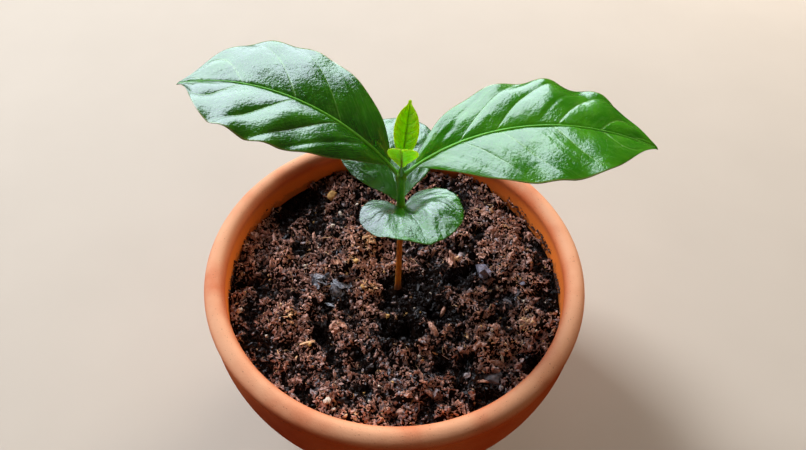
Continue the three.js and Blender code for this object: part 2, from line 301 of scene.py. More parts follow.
def surface(finish, height=None, depth=0.1, **sockets):
    """Ends a finish: a shader, with a bump of that many millimetres where a height is given."""
    inputs = {name.replace("_", " "): value for name, value in sockets.items()}
    if height is not None:
        bump = {"Height": height, "Distance": depth * MM, "Strength": 1.0}
        inputs["Normal"] = finish.node("ShaderNodeBump", None, bump)["Normal"]
    shader = finish.node("ShaderNodeBsdfPrincipled", None, inputs)["BSDF"]
    finish.node("ShaderNodeOutputMaterial", None, {"Surface": shader})
    return finish.material


print("a middle grey on the screen is", round(colour(128, 128, 128)[0], 3), "in a shader")

# %% [markdown]
# Meshes are made from arrays: all the points at once, and the faces as rows of point numbers.
# One function turns them into an object. Another lets it ride on the body and hides the solids
# that it stands for. Most meshes below are grids or stacks of rings, so three small functions
# number their faces: one sets four rows of point numbers side by side as corners, one pairs
# each point of a ring with the next one, and one closes a ring with a fan of triangles.

# %% Make meshes from arrays
def mesh_piece(name, points, face_groups, materials, choice=None, smooth=True, uvs=None):
    """An object from points in millimetres and groups of faces with as many corners each."""
    mesh = bpy.data.meshes.new(name)
    loops = np.concatenate([faces.ravel() for faces in face_groups]).astype(np.int32)
    sizes = np.concatenate([np.full(len(faces), faces.shape[1]) for faces in face_groups])
    mesh.vertices.add(len(points))
    mesh.vertices.foreach_set("co", (np.asarray(points) * MM).astype(np.float32).ravel())
    mesh.loops.add(len(loops))
    mesh.loops.foreach_set("vertex_index", loops)
    mesh.polygons.add(len(sizes))
    mesh.polygons.foreach_set("loop_start", (np.cumsum(sizes) - sizes).astype(np.int32))
    for material in materials:
        mesh.materials.append(material)
    if choice is not None:
        mesh.polygons.foreach_set("material_index", np.asarray(choice).astype(np.int32))
    if uvs is not None:
        layer = mesh.uv_layers.new(name="blade")
        layer.data.foreach_set("uv", np.asarray(uvs)[loops].astype(np.float32).ravel())
    mesh.update(calc_edges=True)
    mesh.validate()
    if smooth:
        mesh.shade_smooth()
    else:
        mesh.shade_flat()
    piece = bpy.data.objects.new(name, mesh)
    bpy.context.scene.collection.objects.link(piece)
    return piece


def quads(*corners):
    """Faces from four arrays that hold their first, second, third and last corners."""
    return np.stack(corners, -1).reshape(-1, 4)


def ring_numbers(rows, sides):
    """The point numbers of a stack of closed rings, and those of each point's neighbour."""
    here = np.arange(rows * sides).reshape(rows, sides)
    return here, np.roll(here, -1, axis=1)


def fan(tip, first, second):
    """Triangles from one point to each step of a ring."""
    return np.column_stack([np.full(len(first), tip), first, second])


def settle(piece, slot, *nodes):
    """The piece rides on the body and stands for those solids."""
    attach(piece, "root")
    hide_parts(*nodes)
    sizes = [round(size / MM, 1) for size in piece.dimensions]
    print(piece.name, len(piece.data.polygons), "faces, in mm", sizes)


print("corners of a square face:", quads([0], [1], [2], [3]))

# %% [markdown]
# The floor is no part of the plant: a plain pale sheet that catches its shadow. A pale floor
# also throws light back, which would grey the greens and the shaded side of the pot. So the
# camera sees the pale sheet, and the light bounces off a darker, warmer one just below it.
# Far from the pot, where no lamp reaches, the pale sheet takes on the backdrop's own light, so
# that no edge shows behind the plant from any side.

# %% Lay the floor
FLOOR_HALF = 2500
FLOOR_DROP = 0.3  # below the pot, so that the two don't share a plane
BOUNCE_DROP = 0.8
FADE_FROM, FADE_TO = 0.6, 2.0  # metres from the pot's middle
UNLIT = (0, 0, 0, 1)


def floor_finish(name, first, second):
    finish = Finish(name)
    place = place_on(finish)
    x, y, _ = parts_of(place)
    far = step((x * x + y * y) ** 0.5, FADE_FROM, FADE_TO)
    shade = mixed(noise(place, 60, detail=4), first, second)
    shade = mixed(far, shade, UNLIT)
    glow = mixed(far, UNLIT, BACKDROP_TINT)
    return surface(
        finish, Base_Color=shade, Roughness=0.8, Emission_Color=glow, Emission_Strength=1.0,
    )


def floor_sheet(name, drop, material):
    corners = np.array([[-1, -1], [1, -1], [1, 1], [-1, 1]]) * FLOOR_HALF
    points = np.column_stack([corners, np.full(4, -drop)])
    sheet = mesh_piece(name, points, [np.array([[0, 1, 2, 3]])], [material])
    return sheet


pale = floor_finish("pale_floor", colour(192, 187, 180), colour(200, 195, 188))
warm = surface(Finish("warm_bounce"), Base_Color=colour(128, 63, 26), Roughness=0.8)
floor = floor_sheet("floor", FLOOR_DROP, pale)
floor.visible_glossy = False
floor.visible_diffuse = False
floor.visible_shadow = False
bounce = floor_sheet("floor_bounce", BOUNCE_DROP, warm)
bounce.visible_camera = False
bounce.visible_glossy = False
bounce.visible_shadow = False
print("floor:", [round(size, 2) for size in floor.dimensions], "m")

# %% [markdown]
# The pot is turned on a wheel, so its shape is one profile spun round the axis. The wall
# flares in a soft curve from the foot, goes up straight for the last centimetre, and ends in a
# rolled lip. The profile follows the solid's rule in finer steps, from the middle of the
# underside round the lip to the middle of the floor inside, so the skin is closed. A Screw
# modifier could spin it too, but the stem, the bud and the soil need the points as numbers.

# %% Turn the pot
_, pot_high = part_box("pot")
RIM_RADIUS = pot_high.x / MM
POT_HEIGHT = pot_high.z / MM
LIP_RADIUS = 3.9
LIP_ANGLES = (-48, 194.4)  # where its round starts and ends, in degrees
BELLY_RADIUS = 74.5
BELLY_HEIGHT = 70
FOOT_RADIUS = 39
FOOT_ROUNDING = 1.5
WALL = 7
POT_FLOOR = 8
POT_SIDES = 200
MIDDLE = 4  # radius of the innermost ring of faces, clear of the drain holes
LIP_CENTRE = np.array([RIM_RADIUS - LIP_RADIUS, POT_HEIGHT - LIP_RADIUS])


def wall_radius(height):
    """Outside radius of the pot's wall at a height."""
    below = np.maximum(0, 1 - height / BELLY_HEIGHT)
    return BELLY_RADIUS - (BELLY_RADIUS - FOOT_RADIUS) * below ** 2


def bowl_radius(height):
    return wall_radius(height) - WALL


def arc(centre, radius, start, end, steps):
    """Points on a round arc in the profile's plane, with its angles in degrees."""
    angles = np.radians(np.linspace(start, end, steps))
    return centre + radius * np.column_stack([np.cos(angles), np.sin(angles)])


def turned(profile, sides):
    """Points and faces of a profile of radius and height, whose ends are on the axis."""
    angles = 2 * np.pi * np.arange(sides) / sides
    ring = np.column_stack([np.cos(angles), np.sin(angles)])
    radii, heights = profile[1:-1].T
    around = np.stack([radii[:, None] * ring[:, 0], radii[:, None] * ring[:, 1]], -1)
    level = np.broadcast_to(heights[:, None, None], (*around.shape[:2], 1))
    points = np.concatenate([around, level], -1).reshape(-1, 3)
    first, last = len(points), len(points) + 1
    points = np.vstack([points, [0, 0, profile[0][1]], [0, 0, profile[-1][1]]])
    here, beside = ring_numbers(len(radii), sides)
    walls = quads(here[:-1], beside[:-1], beside[1:], here[1:])
    ends = [fan(first, beside[0], here[0]), fan(last, here[-1], beside[-1])]
    return points, [walls, np.vstack(ends)]


def pot_profile():
    """From the middle of the underside round the wall and the lip to the middle of the floor."""
    neck = POT_HEIGHT - 2 * LIP_RADIUS
    foot_centre = np.array([FOOT_RADIUS - FOOT_ROUNDING, FOOT_ROUNDING])
    foot = arc(foot_centre, FOOT_ROUNDING, -90, -10, 8)
    heights = np.linspace(FOOT_ROUNDING, neck, 40)
    outside = np.column_stack([wall_radius(heights), heights])
    groove = np.array([[BELLY_RADIUS - 0.1, neck + 0.2], [BELLY_RADIUS - 0.5, neck + 0.7]])
    lip = arc(LIP_CENTRE, LIP_RADIUS, *LIP_ANGLES, 34)
    depths = np.linspace(neck, POT_FLOOR, 30)
    inside = np.column_stack([bowl_radius(depths), depths])
    across = np.linspace(MIDDLE, FOOT_RADIUS - 2 * FOOT_ROUNDING, 10)
    underside = np.column_stack([across, np.zeros(10)])
    back = np.linspace(bowl_radius(POT_FLOOR), MIDDLE, 8)[1:]
    bottom = np.column_stack([back, np.full(7, POT_FLOOR)])
    return np.vstack([
        [0, 0], underside, foot, outside[1:], groove, lip, inside, bottom, [0, POT_FLOOR],
    ])


pot_points, pot_faces = turned(pot_profile(), POT_SIDES)
print("pot:", len(pot_points), "points,", round(POT_HEIGHT, 1), "mm high")

# %% [markdown]
# Three drain holes go through the floor. They can't be seen in the photograph, so their size
# and places are the solid's. A Boolean modifier cuts them, with one cutter for all three, and
# is applied at once, so that the mesh itself has the holes. Edges that are sharper than 40
# degrees are marked, and the smooth shading stops there.

# %% Drill the drain holes
DRAIN_RADIUS = 4.5
DRAIN_CIRCLE = 18
DRAIN_ANGLES = (60, 180, 300)
SHARP_ANGLE = 40


def drill_holes(piece):
    cutter = bmesh.new()
    for angle in np.radians(DRAIN_ANGLES):
        at = Vector((np.cos(angle), np.sin(angle), 0)) * DRAIN_CIRCLE * MM
        bmesh.ops.create_cone(
            cutter, cap_ends=True, segments=48, depth=4 * POT_FLOOR * MM,
            radius1=DRAIN_RADIUS * MM, radius2=DRAIN_RADIUS * MM, matrix=Matrix.Translation(at),
        )
    drill_mesh = bpy.data.meshes.new("drill")
    cutter.to_mesh(drill_mesh)
    cutter.free()
    drill = bpy.data.objects.new("drill", drill_mesh)
    bpy.context.scene.collection.objects.link(drill)
    holes = piece.modifiers.new("holes", "BOOLEAN")
    holes.object = drill
    holes.solver = "MANIFOLD"
    graph = bpy.context.evaluated_depsgraph_get()
    piece.data = bpy.data.meshes.new_from_object(piece.evaluated_get(graph))
    piece.modifiers.clear()
    bpy.data.objects.remove(drill)
    piece.data.set_sharp_from_angle(angle=np.radians(SHARP_ANGLE))


print("drain holes:", len(DRAIN_ANGLES), "of", 2 * DRAIN_RADIUS, "mm")

# %% [markdown]
# Terracotta is matte and a little open: fine grain, faint rings from the wheel, tiny dark
# pits and a pale bloom on the lip where it is handled. The bloom lies on the lip's top only,
# so it is also a painted highlight where the light falls. Inside, the wall is painted a
# brighter, deeper orange for the light that bounces round the bowl, and just above the soil
# it is stained by damp earth. All of it is mixed by where on the pot a point lies, in noise
# whose spots have real sizes.

# %% Finish the pot
CLAY = colour(206, 98, 46)
CLAY_PALE = colour(216, 120, 68)
# Bloom and painted highlight: the pale colour of the lip's top, where the light falls.
CLAY_BLOOM_AND_LIGHT = colour(236, 184, 150)
# Painted light: a brighter orange for the inside wall, for the light bounced round the bowl.
CLAY_INSIDE_BOUNCE_LIGHT = colour(234, 126, 48)
CLAY_PIT = colour(96, 48, 32)
CLAY_DAMP = colour(70, 34, 20)
# These bound the bloom and the painted highlight on the lip's top.
BLOOM_AND_LIGHT_FROM, BLOOM_AND_LIGHT_TO = 78.8 * MM, 83.6 * MM  # heights between which the bloom on the lip sets in
LIP_FROM, LIP_TO = 65.5 * MM, 70 * MM  # radii that keep the bloom off the inner wall
DAMP_FROM, DAMP_TO = 72.5 * MM, 69.5 * MM  # heights between which the damp stain sets in


def terracotta():
    finish = Finish("terracotta")
    place = place_on(finish)
    x, y, z = parts_of(place)
    radius = (x * x + y * y) ** 0.5
    cloud = noise(place, 22, detail=3)
    grain = noise(place, 0.7, detail=3, roughness=0.7)
    clay = mixed(step(cloud, 0.35, 0.7), CLAY, CLAY_PALE)
    # Bloom and painted highlight: the lip's top is made paler where the light falls on it.
    bloom_and_light = step(z, BLOOM_AND_LIGHT_FROM, BLOOM_AND_LIGHT_TO) * step(radius, LIP_FROM, LIP_TO)
    clay = mixed(bloom_and_light * step(cloud, 0.1, 0.6) * 0.85, clay, CLAY_BLOOM_AND_LIGHT)
    below = z.maths("MAXIMUM", 1 - z / (BELLY_HEIGHT * MM), 0)
    outer = BELLY_RADIUS * MM - below * below * ((BELLY_RADIUS - FOOT_RADIUS) * MM)
    inside = step(outer - radius, 0.005, 0.007) * step(z, 0.05, 0.054)
    # Painted light: the inside wall below the lip is a brighter orange, for light bounced inside.
    clay = mixed(inside * step(z, 0.08, 0.076), clay, CLAY_INSIDE_BOUNCE_LIGHT)
    patchy = noise(place, 5, detail=4, roughness=0.7)
    damp = step(z + (0.5 - patchy) * 0.012, DAMP_FROM, DAMP_TO)
    clay = mixed(inside * damp * 0.4, clay, CLAY_DAMP)
    flat_place = stretched(place, (1, 1, 2.2))
    pits = specks(flat_place, spacing=1.3, radius=0.28, share=0.4) * step(patchy, 0.4, 0.65)
    clay = mixed(pits * 0.55, clay, CLAY_PIT)
    dots = specks(place, spacing=1.0, radius=0.17, share=0.3)
    clay = mixed(dots * 0.5, clay, CLAY_PIT)
    # Dust specks, most of them on the lip's top, where they add to the painted highlight.
    dust = step(grain, 0.3, 0.8) * (0.04 + bloom_and_light * 0.14)
    clay = mixed(dust, clay, CLAY_BLOOM_AND_LIGHT)
    rings = noise(stretched(place, (0.05, 0.05, 1)), 1.6)
    height = grain * 0.7 + rings * 0.35 - pits * 0.8 - dots * 0.4
    rough = 0.62 + 0.2 * patchy
    return surface(
        finish, height, 0.16, Base_Color=clay, Roughness=rough, Specular_IOR_Level=0.18,
    )


pot = mesh_piece("terracotta_pot", pot_points, pot_faces, [terracotta()])
drill_holes(pot)
settle(pot, "terracotta", "pot")

# %% [markdown]
# The soil is a coarse compost of peat, bark and fibre. Its surface is a low landscape: heaps
# and dips about a centimetre across, steep pits between the clods, and edges that have drawn
# back from the wall. Each is a round bell-shaped rise or fall at a place, in millimetres from
# the middle of the pot. The heaps are the solid's own.

# %% List the heaps and the pits
stem_low, stem_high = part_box("stem")
STEM_X = (stem_low.x + stem_high.x) / 2 / MM
STEM_Y = (stem_low.y + stem_high.y) / 2 / MM
STEM_FOOT = stem_low.z / MM
CLEARANCE = 0.3
SOIL_HEIGHT = 70.1
SOIL_RADIUS = bowl_radius(SOIL_HEIGHT) - CLEARANCE
HOLLOW_DEPTH = 2.75
HOLLOW_RADIUS = 13
FLAT_RADIUS = 3
CRUMB_DEPTH = 0.4  # the ground lies this much lower, as the crumbs lie on it
HEAPS = (  # each a centre, a rise and a spread
    (-14, 16, 2.2, 13), (-40, 2, 1.6, 15), (34, 26, 1.8, 16), (18, -42, 1.7, 15),
    (-24, -34, 1.4, 13), (16, -14, -2.4, 8), (30, 8, -1.6, 7), (-22, -6, -1.3, 9),
)
PITS = (  # steep hollows between the clods, each a centre, a depth and a spread
    (5, -23, 9, 5.5), (-2, -21, 6, 4.5), (17, -12, 9, 4.6), (27, 5, 7, 4.5), (18, -39, 5, 3.5),
    (-4, 1, 6, 3), (5, 3, 5, 3.2), (-12, 34, 6, 5), (55, -38, 5, 5), (-40, -10, 3, 4),
    (-27, -26, 4, 3.5), (-42, 16, 4, 4),
)
DRAWN_BACK = (  # where the soil has drawn away from the wall
    (-48, 43, -3.5, 11), (-66, -2, -5, 11), (-62, 16, -2.5, 9), (66, 6, -1.2, 10),
    (58, 32, -2.2, 9),
)


def heaped(x, y, heaps):
    """The sum of round heaps, each a centre, a rise and a spread."""
    total = 0
    for u, v, rise, spread in heaps:
        total = total + rise * np.exp(-((x - u) ** 2 + (y - v) ** 2) / spread ** 2)
    return total


print("stem stands at", round(STEM_X, 2), round(STEM_Y, 2), "soil radius", round(SOIL_RADIUS, 1))

# %% [markdown]
# On top of the landscape lie lumps of every size down to a grain. They come from noise that is
# pressed into steps, which makes clods with steep sides between them. Blender's noise textures
# could do it with a Displace modifier, but the crumbs have to know the height of the ground
# that they lie on, so the noise is worked out here, for any place on the soil.

# %% Shape the ground
def bumps(x, y, size, seed):
    """Smooth random bumps from -1 to 1, about that many millimetres across."""
    table = np.random.default_rng(seed).uniform(-1, 1, (256, 256))
    u, v = (x * 0.8 - y * 0.6) / size, (x * 0.6 + y * 0.8) / size
    i, j = np.floor(u).astype(int), np.floor(v).astype(int)
    u, v = u - i, v - j
    u, v = u * u * (3 - 2 * u), v * v * (3 - 2 * v)

    def corner(di, dj):
        return table[(i + di) % 256, (j + dj) % 256]

    near = corner(0, 0) * (1 - u) + corner(1, 0) * u
    far = corner(0, 1) * (1 - u) + corner(1, 1) * u
    return near * (1 - v) + far * v


def soil_height(x, y):
    """The large forms, as the solid has them."""
    from_stem = np.maximum(0, np.hypot(x - STEM_X, y - STEM_Y) - FLAT_RADIUS)
    hollow = np.exp(-((from_stem / HOLLOW_RADIUS) ** 2))
    return SOIL_HEIGHT - HOLLOW_DEPTH * hollow + heaped(x, y, HEAPS) * (1 - hollow)


def clumps(x, y):
    """The relief of the clumps that the crumbs hold together in."""
    broad = np.tanh(4 * bumps(x, y, 11, 1) + 1.5 * bumps(x, y, 3, 4))
    middle = np.tanh(5 * bumps(x, y, 4.4, 2))
    return 1.7 * broad + 1.3 * middle + 1.1 * bumps(x, y, 2, 3)


def pitted(x, y):
    """From 0 down to the depth of a pit, whose outline wanders."""
    x, y = x + 1.6 * bumps(x, y, 5, 7), y + 1.6 * bumps(x, y, 5, 8)
    total = 0
    for u, v, depth, spread in PITS:
        total = total + depth * np.exp(-(((x - u) ** 2 + (y - v) ** 2) / spread ** 2) ** 2)
    return -total


def ground(x, y):
    """The height of the soil between its crumbs."""
    calm = 1 - np.exp(-((np.hypot(x - STEM_X, y - STEM_Y) / FLAT_RADIUS) ** 4))
    relief = heaped(x, y, DRAWN_BACK) + pitted(x, y) + clumps(x, y) - CRUMB_DEPTH
    return soil_height(x, y) + relief * calm


def ground_mesh(rings=120, sides=360):
    """A closed plug of soil: the ground on top, and the bowl's shape below."""
    edge = np.linspace(POT_FLOOR + CLEARANCE, SOIL_HEIGHT - 2, 12)
    below = np.column_stack([bowl_radius(edge) - CLEARANCE, edge])
    radii = SOIL_RADIUS * np.linspace(1, 0, rings + 1)[:-1]
    top = np.column_stack([radii, np.full(rings, SOIL_HEIGHT)])
    profile = np.vstack([[0, edge[0]], below, top, [0, SOIL_HEIGHT]])
    points, faces = turned(profile, sides)
    on_top = points[:, 2] > SOIL_HEIGHT - 0.1
    points[on_top, 2] = ground(points[on_top, 0], points[on_top, 1])
    return points, faces


ground_points, ground_faces = ground_mesh()
highest = round(ground_points[:, 2].max(), 1)
print("ground:", len(ground_points), "points, highest at", highest, "mm")

# %% [markdown]
# Compost is seen as a crowd of crumbs, so it is made as one: tens of thousands of uneven
# lumps, joined into a few meshes. A finish can't know one crumb from the next in a joined mesh,
# so there are several plain soil colours, each a finish of its own, and every crumb is dealt
# one. Damp peat has a slight shine, dry bark has none. The wet one is for the few flakes that
# mirror the light: its pale blue-grey is a painted sheen, on top of its real gloss. The dry
# one is for earth that has dried on the pot.

# %% Mix the soil colours
SOIL_COLOURS = {  # each a dark and a light shade and a roughness
    "peat_black": ((10, 7, 6), (40, 29, 26), 0.4),
    "peat_brown": ((96, 68, 63), (206, 162, 150), 0.45),
    "peat_red": ((140, 96, 80), (240, 190, 170), 0.5),
    "bark_tan": ((194, 144, 102), (244, 208, 164), 0.6),
    "peat_grey": ((112, 100, 106), (190, 178, 184), 0.4),
    # Painted sheen: the wet peat's pale blue-grey stands for the light its flakes mirror.
    "peat_wet_painted_sheen": ((36, 36, 44), (164, 172, 190), 0.25),
    "peat_dry": ((40, 22, 14), (88, 54, 38), 0.9),
}


def soil_finish(name, dark, light, rough):
    finish = Finish(name)
    place = place_on(finish)
    mottle = noise(place, 1.1, detail=3, roughness=0.7)
    grain = noise(place, 0.35, detail=2)
    shade = mixed(step(mottle, 0.3, 0.7), colour(*dark), colour(*light))
    wet = rough + (mottle - 0.5) * 0.4
    return surface(finish, grain, 0.15, Base_Color=shade, Roughness=wet, Specular_IOR_Level=0.85)


def painted_shade_finish():
    """Painted shade: the ground between the crumbs is near black, for the shade in the gaps."""
    finish = Finish("soil_painted_shade")
    mottle = noise(place_on(finish), 3, detail=3)
    shade = mixed(mottle, colour(8, 5, 4), colour(30, 20, 16))
    return surface(finish, Base_Color=shade, Roughness=0.9, Specular_IOR_Level=0.0)


SOILS = [soil_finish(name, *mix) for name, mix in SOIL_COLOURS.items()]
BLACK, BROWN, RED, TAN, GREY, WET_SHEEN, DRY = range(len(SOILS))
# The ground between the crumbs takes the painted shade.
ground_piece = mesh_piece("soil_ground", ground_points, ground_faces, [painted_shade_finish()])
settle(ground_piece, "soil", "soil")

# %% [markdown]
# A crumb is a ball of triangles whose corners are pushed in and out at random, then stretched
# and turned. The same few lines make grit, clods, bark chips and stones, from balls of 20 or
# more faces. The random numbers come from a seeded source, so each run makes the same soil.

# %% Make uneven lumps
def ball(fineness):
    """Points and faces of a ball of triangles: 20, 80 or 320 faces."""
    sphere = bmesh.new()
    bmesh.ops.create_icosphere(sphere, subdivisions=fineness, radius=1)
    points = np.array([vertex.co for vertex in sphere.verts])
    faces = np.array([[vertex.index for vertex in face.verts] for face in sphere.faces])
    sphere.free()
    return points, faces


def random_turns(random, count, tilt):
    """A turning matrix for each lump; a small tilt keeps them nearly level."""
    spin = random.uniform(0, 2 * np.pi, count)
    lean = np.arccos(1 - random.uniform(0, 2 * tilt, count))
    way = random.uniform(0, 2 * np.pi, count)
    across = np.stack([np.cos(way), np.sin(way), 0 * way], -1)
    turns = []
    for angle, axis, leaned in zip(spin, across, lean):
        turns.append(Matrix.Rotation(leaned, 3, Vector(axis)) @ Matrix.Rotation(angle, 3, "Z"))
    return np.array(turns)


def lumps(random, centres, radii, fineness, stretch, uneven, tilt=1.0):
    """Joins one uneven lump for each centre into one set of points and faces."""
    points, faces = ball(fineness)
    count = len(centres)
    waves = random.normal(0, 2.2, (count, 4, 3))
    phases = random.uniform(0, 2 * np.pi, (count, 4, 1))
    swell = np.sin(waves @ points.T + phases).sum(1) * 0.5
    jitter = random.uniform(-1, 1, (count, len(points)))
    size = 1 + uneven * (0.6 * swell + 0.5 * jitter)
    scale = np.asarray(stretch) * random.uniform(0.7, 1.3, (count, 3))
    shapes = points[None] * size[..., None] * scale[:, None]
    turns = random_turns(random, count, tilt)
    shapes = np.einsum("nij,nkj->nki", turns, shapes) * np.reshape(radii, (-1, 1, 1))
    shapes = shapes + np.asarray(centres)[:, None]
    numbered = faces[None] + len(points) * np.arange(count)[:, None, None]
    return shapes.reshape(-1, 3), numbered.reshape(-1, 3)


print("ball sizes:", [len(ball(fineness)[1]) for fineness in (1, 2, 3)])

# %% [markdown]
# Where a crumb lies decides its colour. Heaps dry out first and go tan and reddish, and
# hollows stay damp and black. The colours also hold painted light and shade: the tops of the
# clumps are made lighter and the pits black. The photograph shows a few lighter and darker
# spots, partly dry and damp ground and partly light and shade: tan ones beside the stem and on
# the ridge behind it, black ones in the pits and along the front. For each crumb a number from
# 0 to 1, for how dry and how lit it is, comes from these, with some chance added, and picks
# its finish.

# %% Deal the soil colours
# Painted light and shade as well as dryness: spots above 0 make crumbs lighter and tan, below 0
# black.
DRY_LIT_AND_SHADED_SPOTS = (  # each a centre, how much drier, and a spread
    (-12, -3, 0.45, 7), (-9, 12, 0.4, 9), (25, 12, 0.6, 4), (51, -17, 0.5, 5),
    (40, -35, 0.4, 5), (5, -57, 0.25, 6), (-33, -32, 0.5, 6), (-45, -2, 0.3, 9),
    (3, -25, -0.9, 6), (16.5, -13, -0.9, 5), (27, 4, -0.8, 4), (0, 1, -0.7, 4),
    (-46, 44, -0.7, 12), (-12, 34, -0.6, 5), (55, -38, -0.6, 5), (12, -45, -0.3, 9),
    (-12, -49, -0.3, 8), (-22, -38, -0.3, 6), (34, -47, -0.25, 7), (-52, -30, -0.25, 8),
)
WET_SPOTS = (  # each a centre, a share that is wet and a spread
    (-30, -1, 1.5, 3.0), (-22.5, -3.5, 1.5, 2.8), (-26, -11, 0.8, 1.8), (-24, 13, 0.7, 1.8),
    (-33, -20, 0.6, 1.8), (50, -4, 0.6, 3), (6, -48, 0.2, 10), (-20, -44, 0.2, 7),
    (40, 8, 0.2, 8),
)


def dryness_and_shade(random, x, y):
    # Painted light and shade: crumbs on heaps and clump tops come out lighter, in pits darker.
    relief = 0.08 * (soil_height(x, y) - SOIL_HEIGHT) + 0.11 * clumps(x, y) + 0.2 * pitted(x, y)
    patch = 0.2 * bumps(x, y, 14, 5) + 0.2 * bumps(x, y, 5, 6)
    return 0.42 + relief + patch + heaped(x, y, DRY_LIT_AND_SHADED_SPOTS) + random.normal(0, 0.1, len(x))


def dealt(random, x, y):
    """A soil colour for each crumb."""
    dry = dryness_and_shade(random, x, y)
    # The black crumbs are painted shade as well as damp peat.
    chosen = np.select([dry < 0.3, dry < 0.64, dry < 1.0], [BLACK, BROWN, RED], TAN)
    odd = random.uniform(0, 1, len(x)) * (dry > 0.1)
    chosen = np.where(odd > 0.9, GREY, chosen)
    chosen = np.where(odd > 0.985, TAN, chosen)
    # Painted sheen: crumbs in the wet spots get the pale blue-grey wet peat.
    return np.where(heaped(x, y, WET_SPOTS) > random.uniform(0, 1, len(x)), WET_SHEEN, chosen)


ridge = dealt(np.random.default_rng(0), np.full(1000, -9.0), np.full(1000, 12.0))
print("colours of a thousand crumbs on the ridge:", np.bincount(ridge, minlength=len(SOILS)))

# %% [markdown]
# The crumbs are spread evenly over the soil, and most of them are small. Those at the edge are
# drawn in so far that they stay inside the pot, and each sinks into the ground by a different
# share of its size.

# %% Scatter the crumbs
STEM_CLEAR = 2.6  # no crumb lies nearer to the stem's middle


def spread_out(random, count, radius):
    """Places spread evenly over the soil, but not where the stem stands."""
    reach = radius * np.sqrt(random.uniform(0, 1, count))
    angle = random.uniform(0, 2 * np.pi, count)
    x, y = reach * np.cos(angle), reach * np.sin(angle)
    clear = np.hypot(x - STEM_X, y - STEM_Y) > STEM_CLEAR
    return x[clear], y[clear]


def crumb_piece(name, seed, count, sizes, fineness, stretch, uneven, sunk):
    """A joined mesh of that many crumbs, with small ones more often than large ones."""
    random = np.random.default_rng(seed)
    x, y = spread_out(random, count, SOIL_RADIUS - 0.4)
    low, high = sizes
    radii = low * (high / low) ** (random.uniform(0, 1, len(x)) ** 1.6)
    reach = np.hypot(x, y)
    shrink = np.minimum(1, (SOIL_RADIUS + 0.2 - radii) / reach)
    x, y = x * shrink, y * shrink
    z = ground(x, y) + radii * random.uniform(-sunk, 1 - sunk, len(x))
    points, faces = lumps(random, np.column_stack([x, y, z]), radii, fineness, stretch, uneven)
    choice = np.repeat(dealt(random, x, y), len(faces) // len(x))
    piece = mesh_piece(name, points, [faces], SOILS, choice, smooth=False)
    settle(piece, "soil", "soil")


crumb_piece(
    "soil_grit", seed=15, count=8500, sizes=(0.25, 0.62), fineness=1,
    stretch=(1.7, 0.8, 0.7), uneven=0.6, sunk=0,
)
crumb_piece(
    "soil_crumbs", seed=13, count=1000, sizes=(0.5, 1.1), fineness=2,
    stretch=(1.5, 0.8, 0.7), uneven=1.0, sunk=0.3,
)

# %% [markdown]
# Peat is made of curled shreds, and fibres and straws lie over them. All three are threads: a
# three-sided tube whose middle line wanders, bows up and tilts. Short, fat and strongly bent
# ones are the shreds. A tube needs a frame along its line, and one cross product with the
# upright is enough for threads that don't stand on end. A curve object with a bevel would be
# the usual way, but twelve thousand curves are slow and these arrays are not.

# %% Bend the threads
def thread_lines(random, x, y, length, lift, steps, bend, tilt):
    """The bent middle line of a thread for each place, lying over the ground."""
    along = np.linspace(-0.5, 0.5, steps)
    heading = random.uniform(0, 2 * np.pi, (len(x), 1))
    heading = heading + along * random.normal(0, bend, (len(x), 1))
    stride = np.reshape(length, (-1, 1)) / (steps - 1)
    px = np.cumsum(np.cos(heading) * stride, axis=1)
    py = np.cumsum(np.sin(heading) * stride, axis=1)
    px = px - px.mean(1, keepdims=True) + np.reshape(x, (-1, 1))
    py = py - py.mean(1, keepdims=True) + np.reshape(y, (-1, 1))
    keep = np.minimum(1, (SOIL_RADIUS - 0.3) / np.maximum(np.hypot(px, py), 1e-6))
    px, py = px * keep, py * keep
    level = ground(px, py)
    pz = level.mean(1, keepdims=True) * 0.5 + level * 0.5
    pz = pz + np.reshape(lift, (-1, 1)) * (1 - 3 * along ** 2)
    pz = pz + random.uniform(-tilt, tilt, (len(x), 1)) * np.reshape(length, (-1, 1)) * along
    return np.stack([px, py, pz], -1)


def threads(random, line, thickness):
    """Joins a three-sided tube round each line into one set of points and faces."""
    count, steps = line.shape[:2]
    forward = np.gradient(line, axis=1)
    forward /= np.linalg.norm(forward, axis=-1, keepdims=True)
    sideways = np.cross(forward, [0, 0, 1.0])
    sideways /= np.linalg.norm(sideways, axis=-1, keepdims=True)
    upward = np.cross(sideways, forward)
    thin = 1 - 0.7 * np.abs(np.linspace(-1, 1, steps))[None, :, None] ** 3
    girth = np.reshape(thickness, (-1, 1, 1)) * thin * random.uniform(0.7, 1.3, (count, steps, 1))
    rings = []
    for angle in np.radians([90, 210, 330]):
        rings.append(line + girth * (np.cos(angle) * sideways + np.sin(angle) * upward))
    points = np.stack(rings, 2).reshape(-1, 3)
    here = np.arange(len(points)).reshape(count, steps, 3)
    beside = np.roll(here, -1, axis=2)
    walls = quads(here[:, :-1], here[:, 1:], beside[:, 1:], beside[:, :-1])
    caps = np.vstack([here[:, 0], here[:, -1, ::-1]])
    return points, [walls, caps]


sample = thread_lines(np.random.default_rng(0), [20], [20], [3], [0.5], steps=4, bend=2, tilt=1)
print("the points of one bent line:", sample[0].round(1).tolist())

# %% [markdown]
# The shreds take the soil's colours by where they lie. Fibres and straws are lighter, and each
# gets one of four colours by chance, except where the soil is painted black for shade: there
# they are black too.

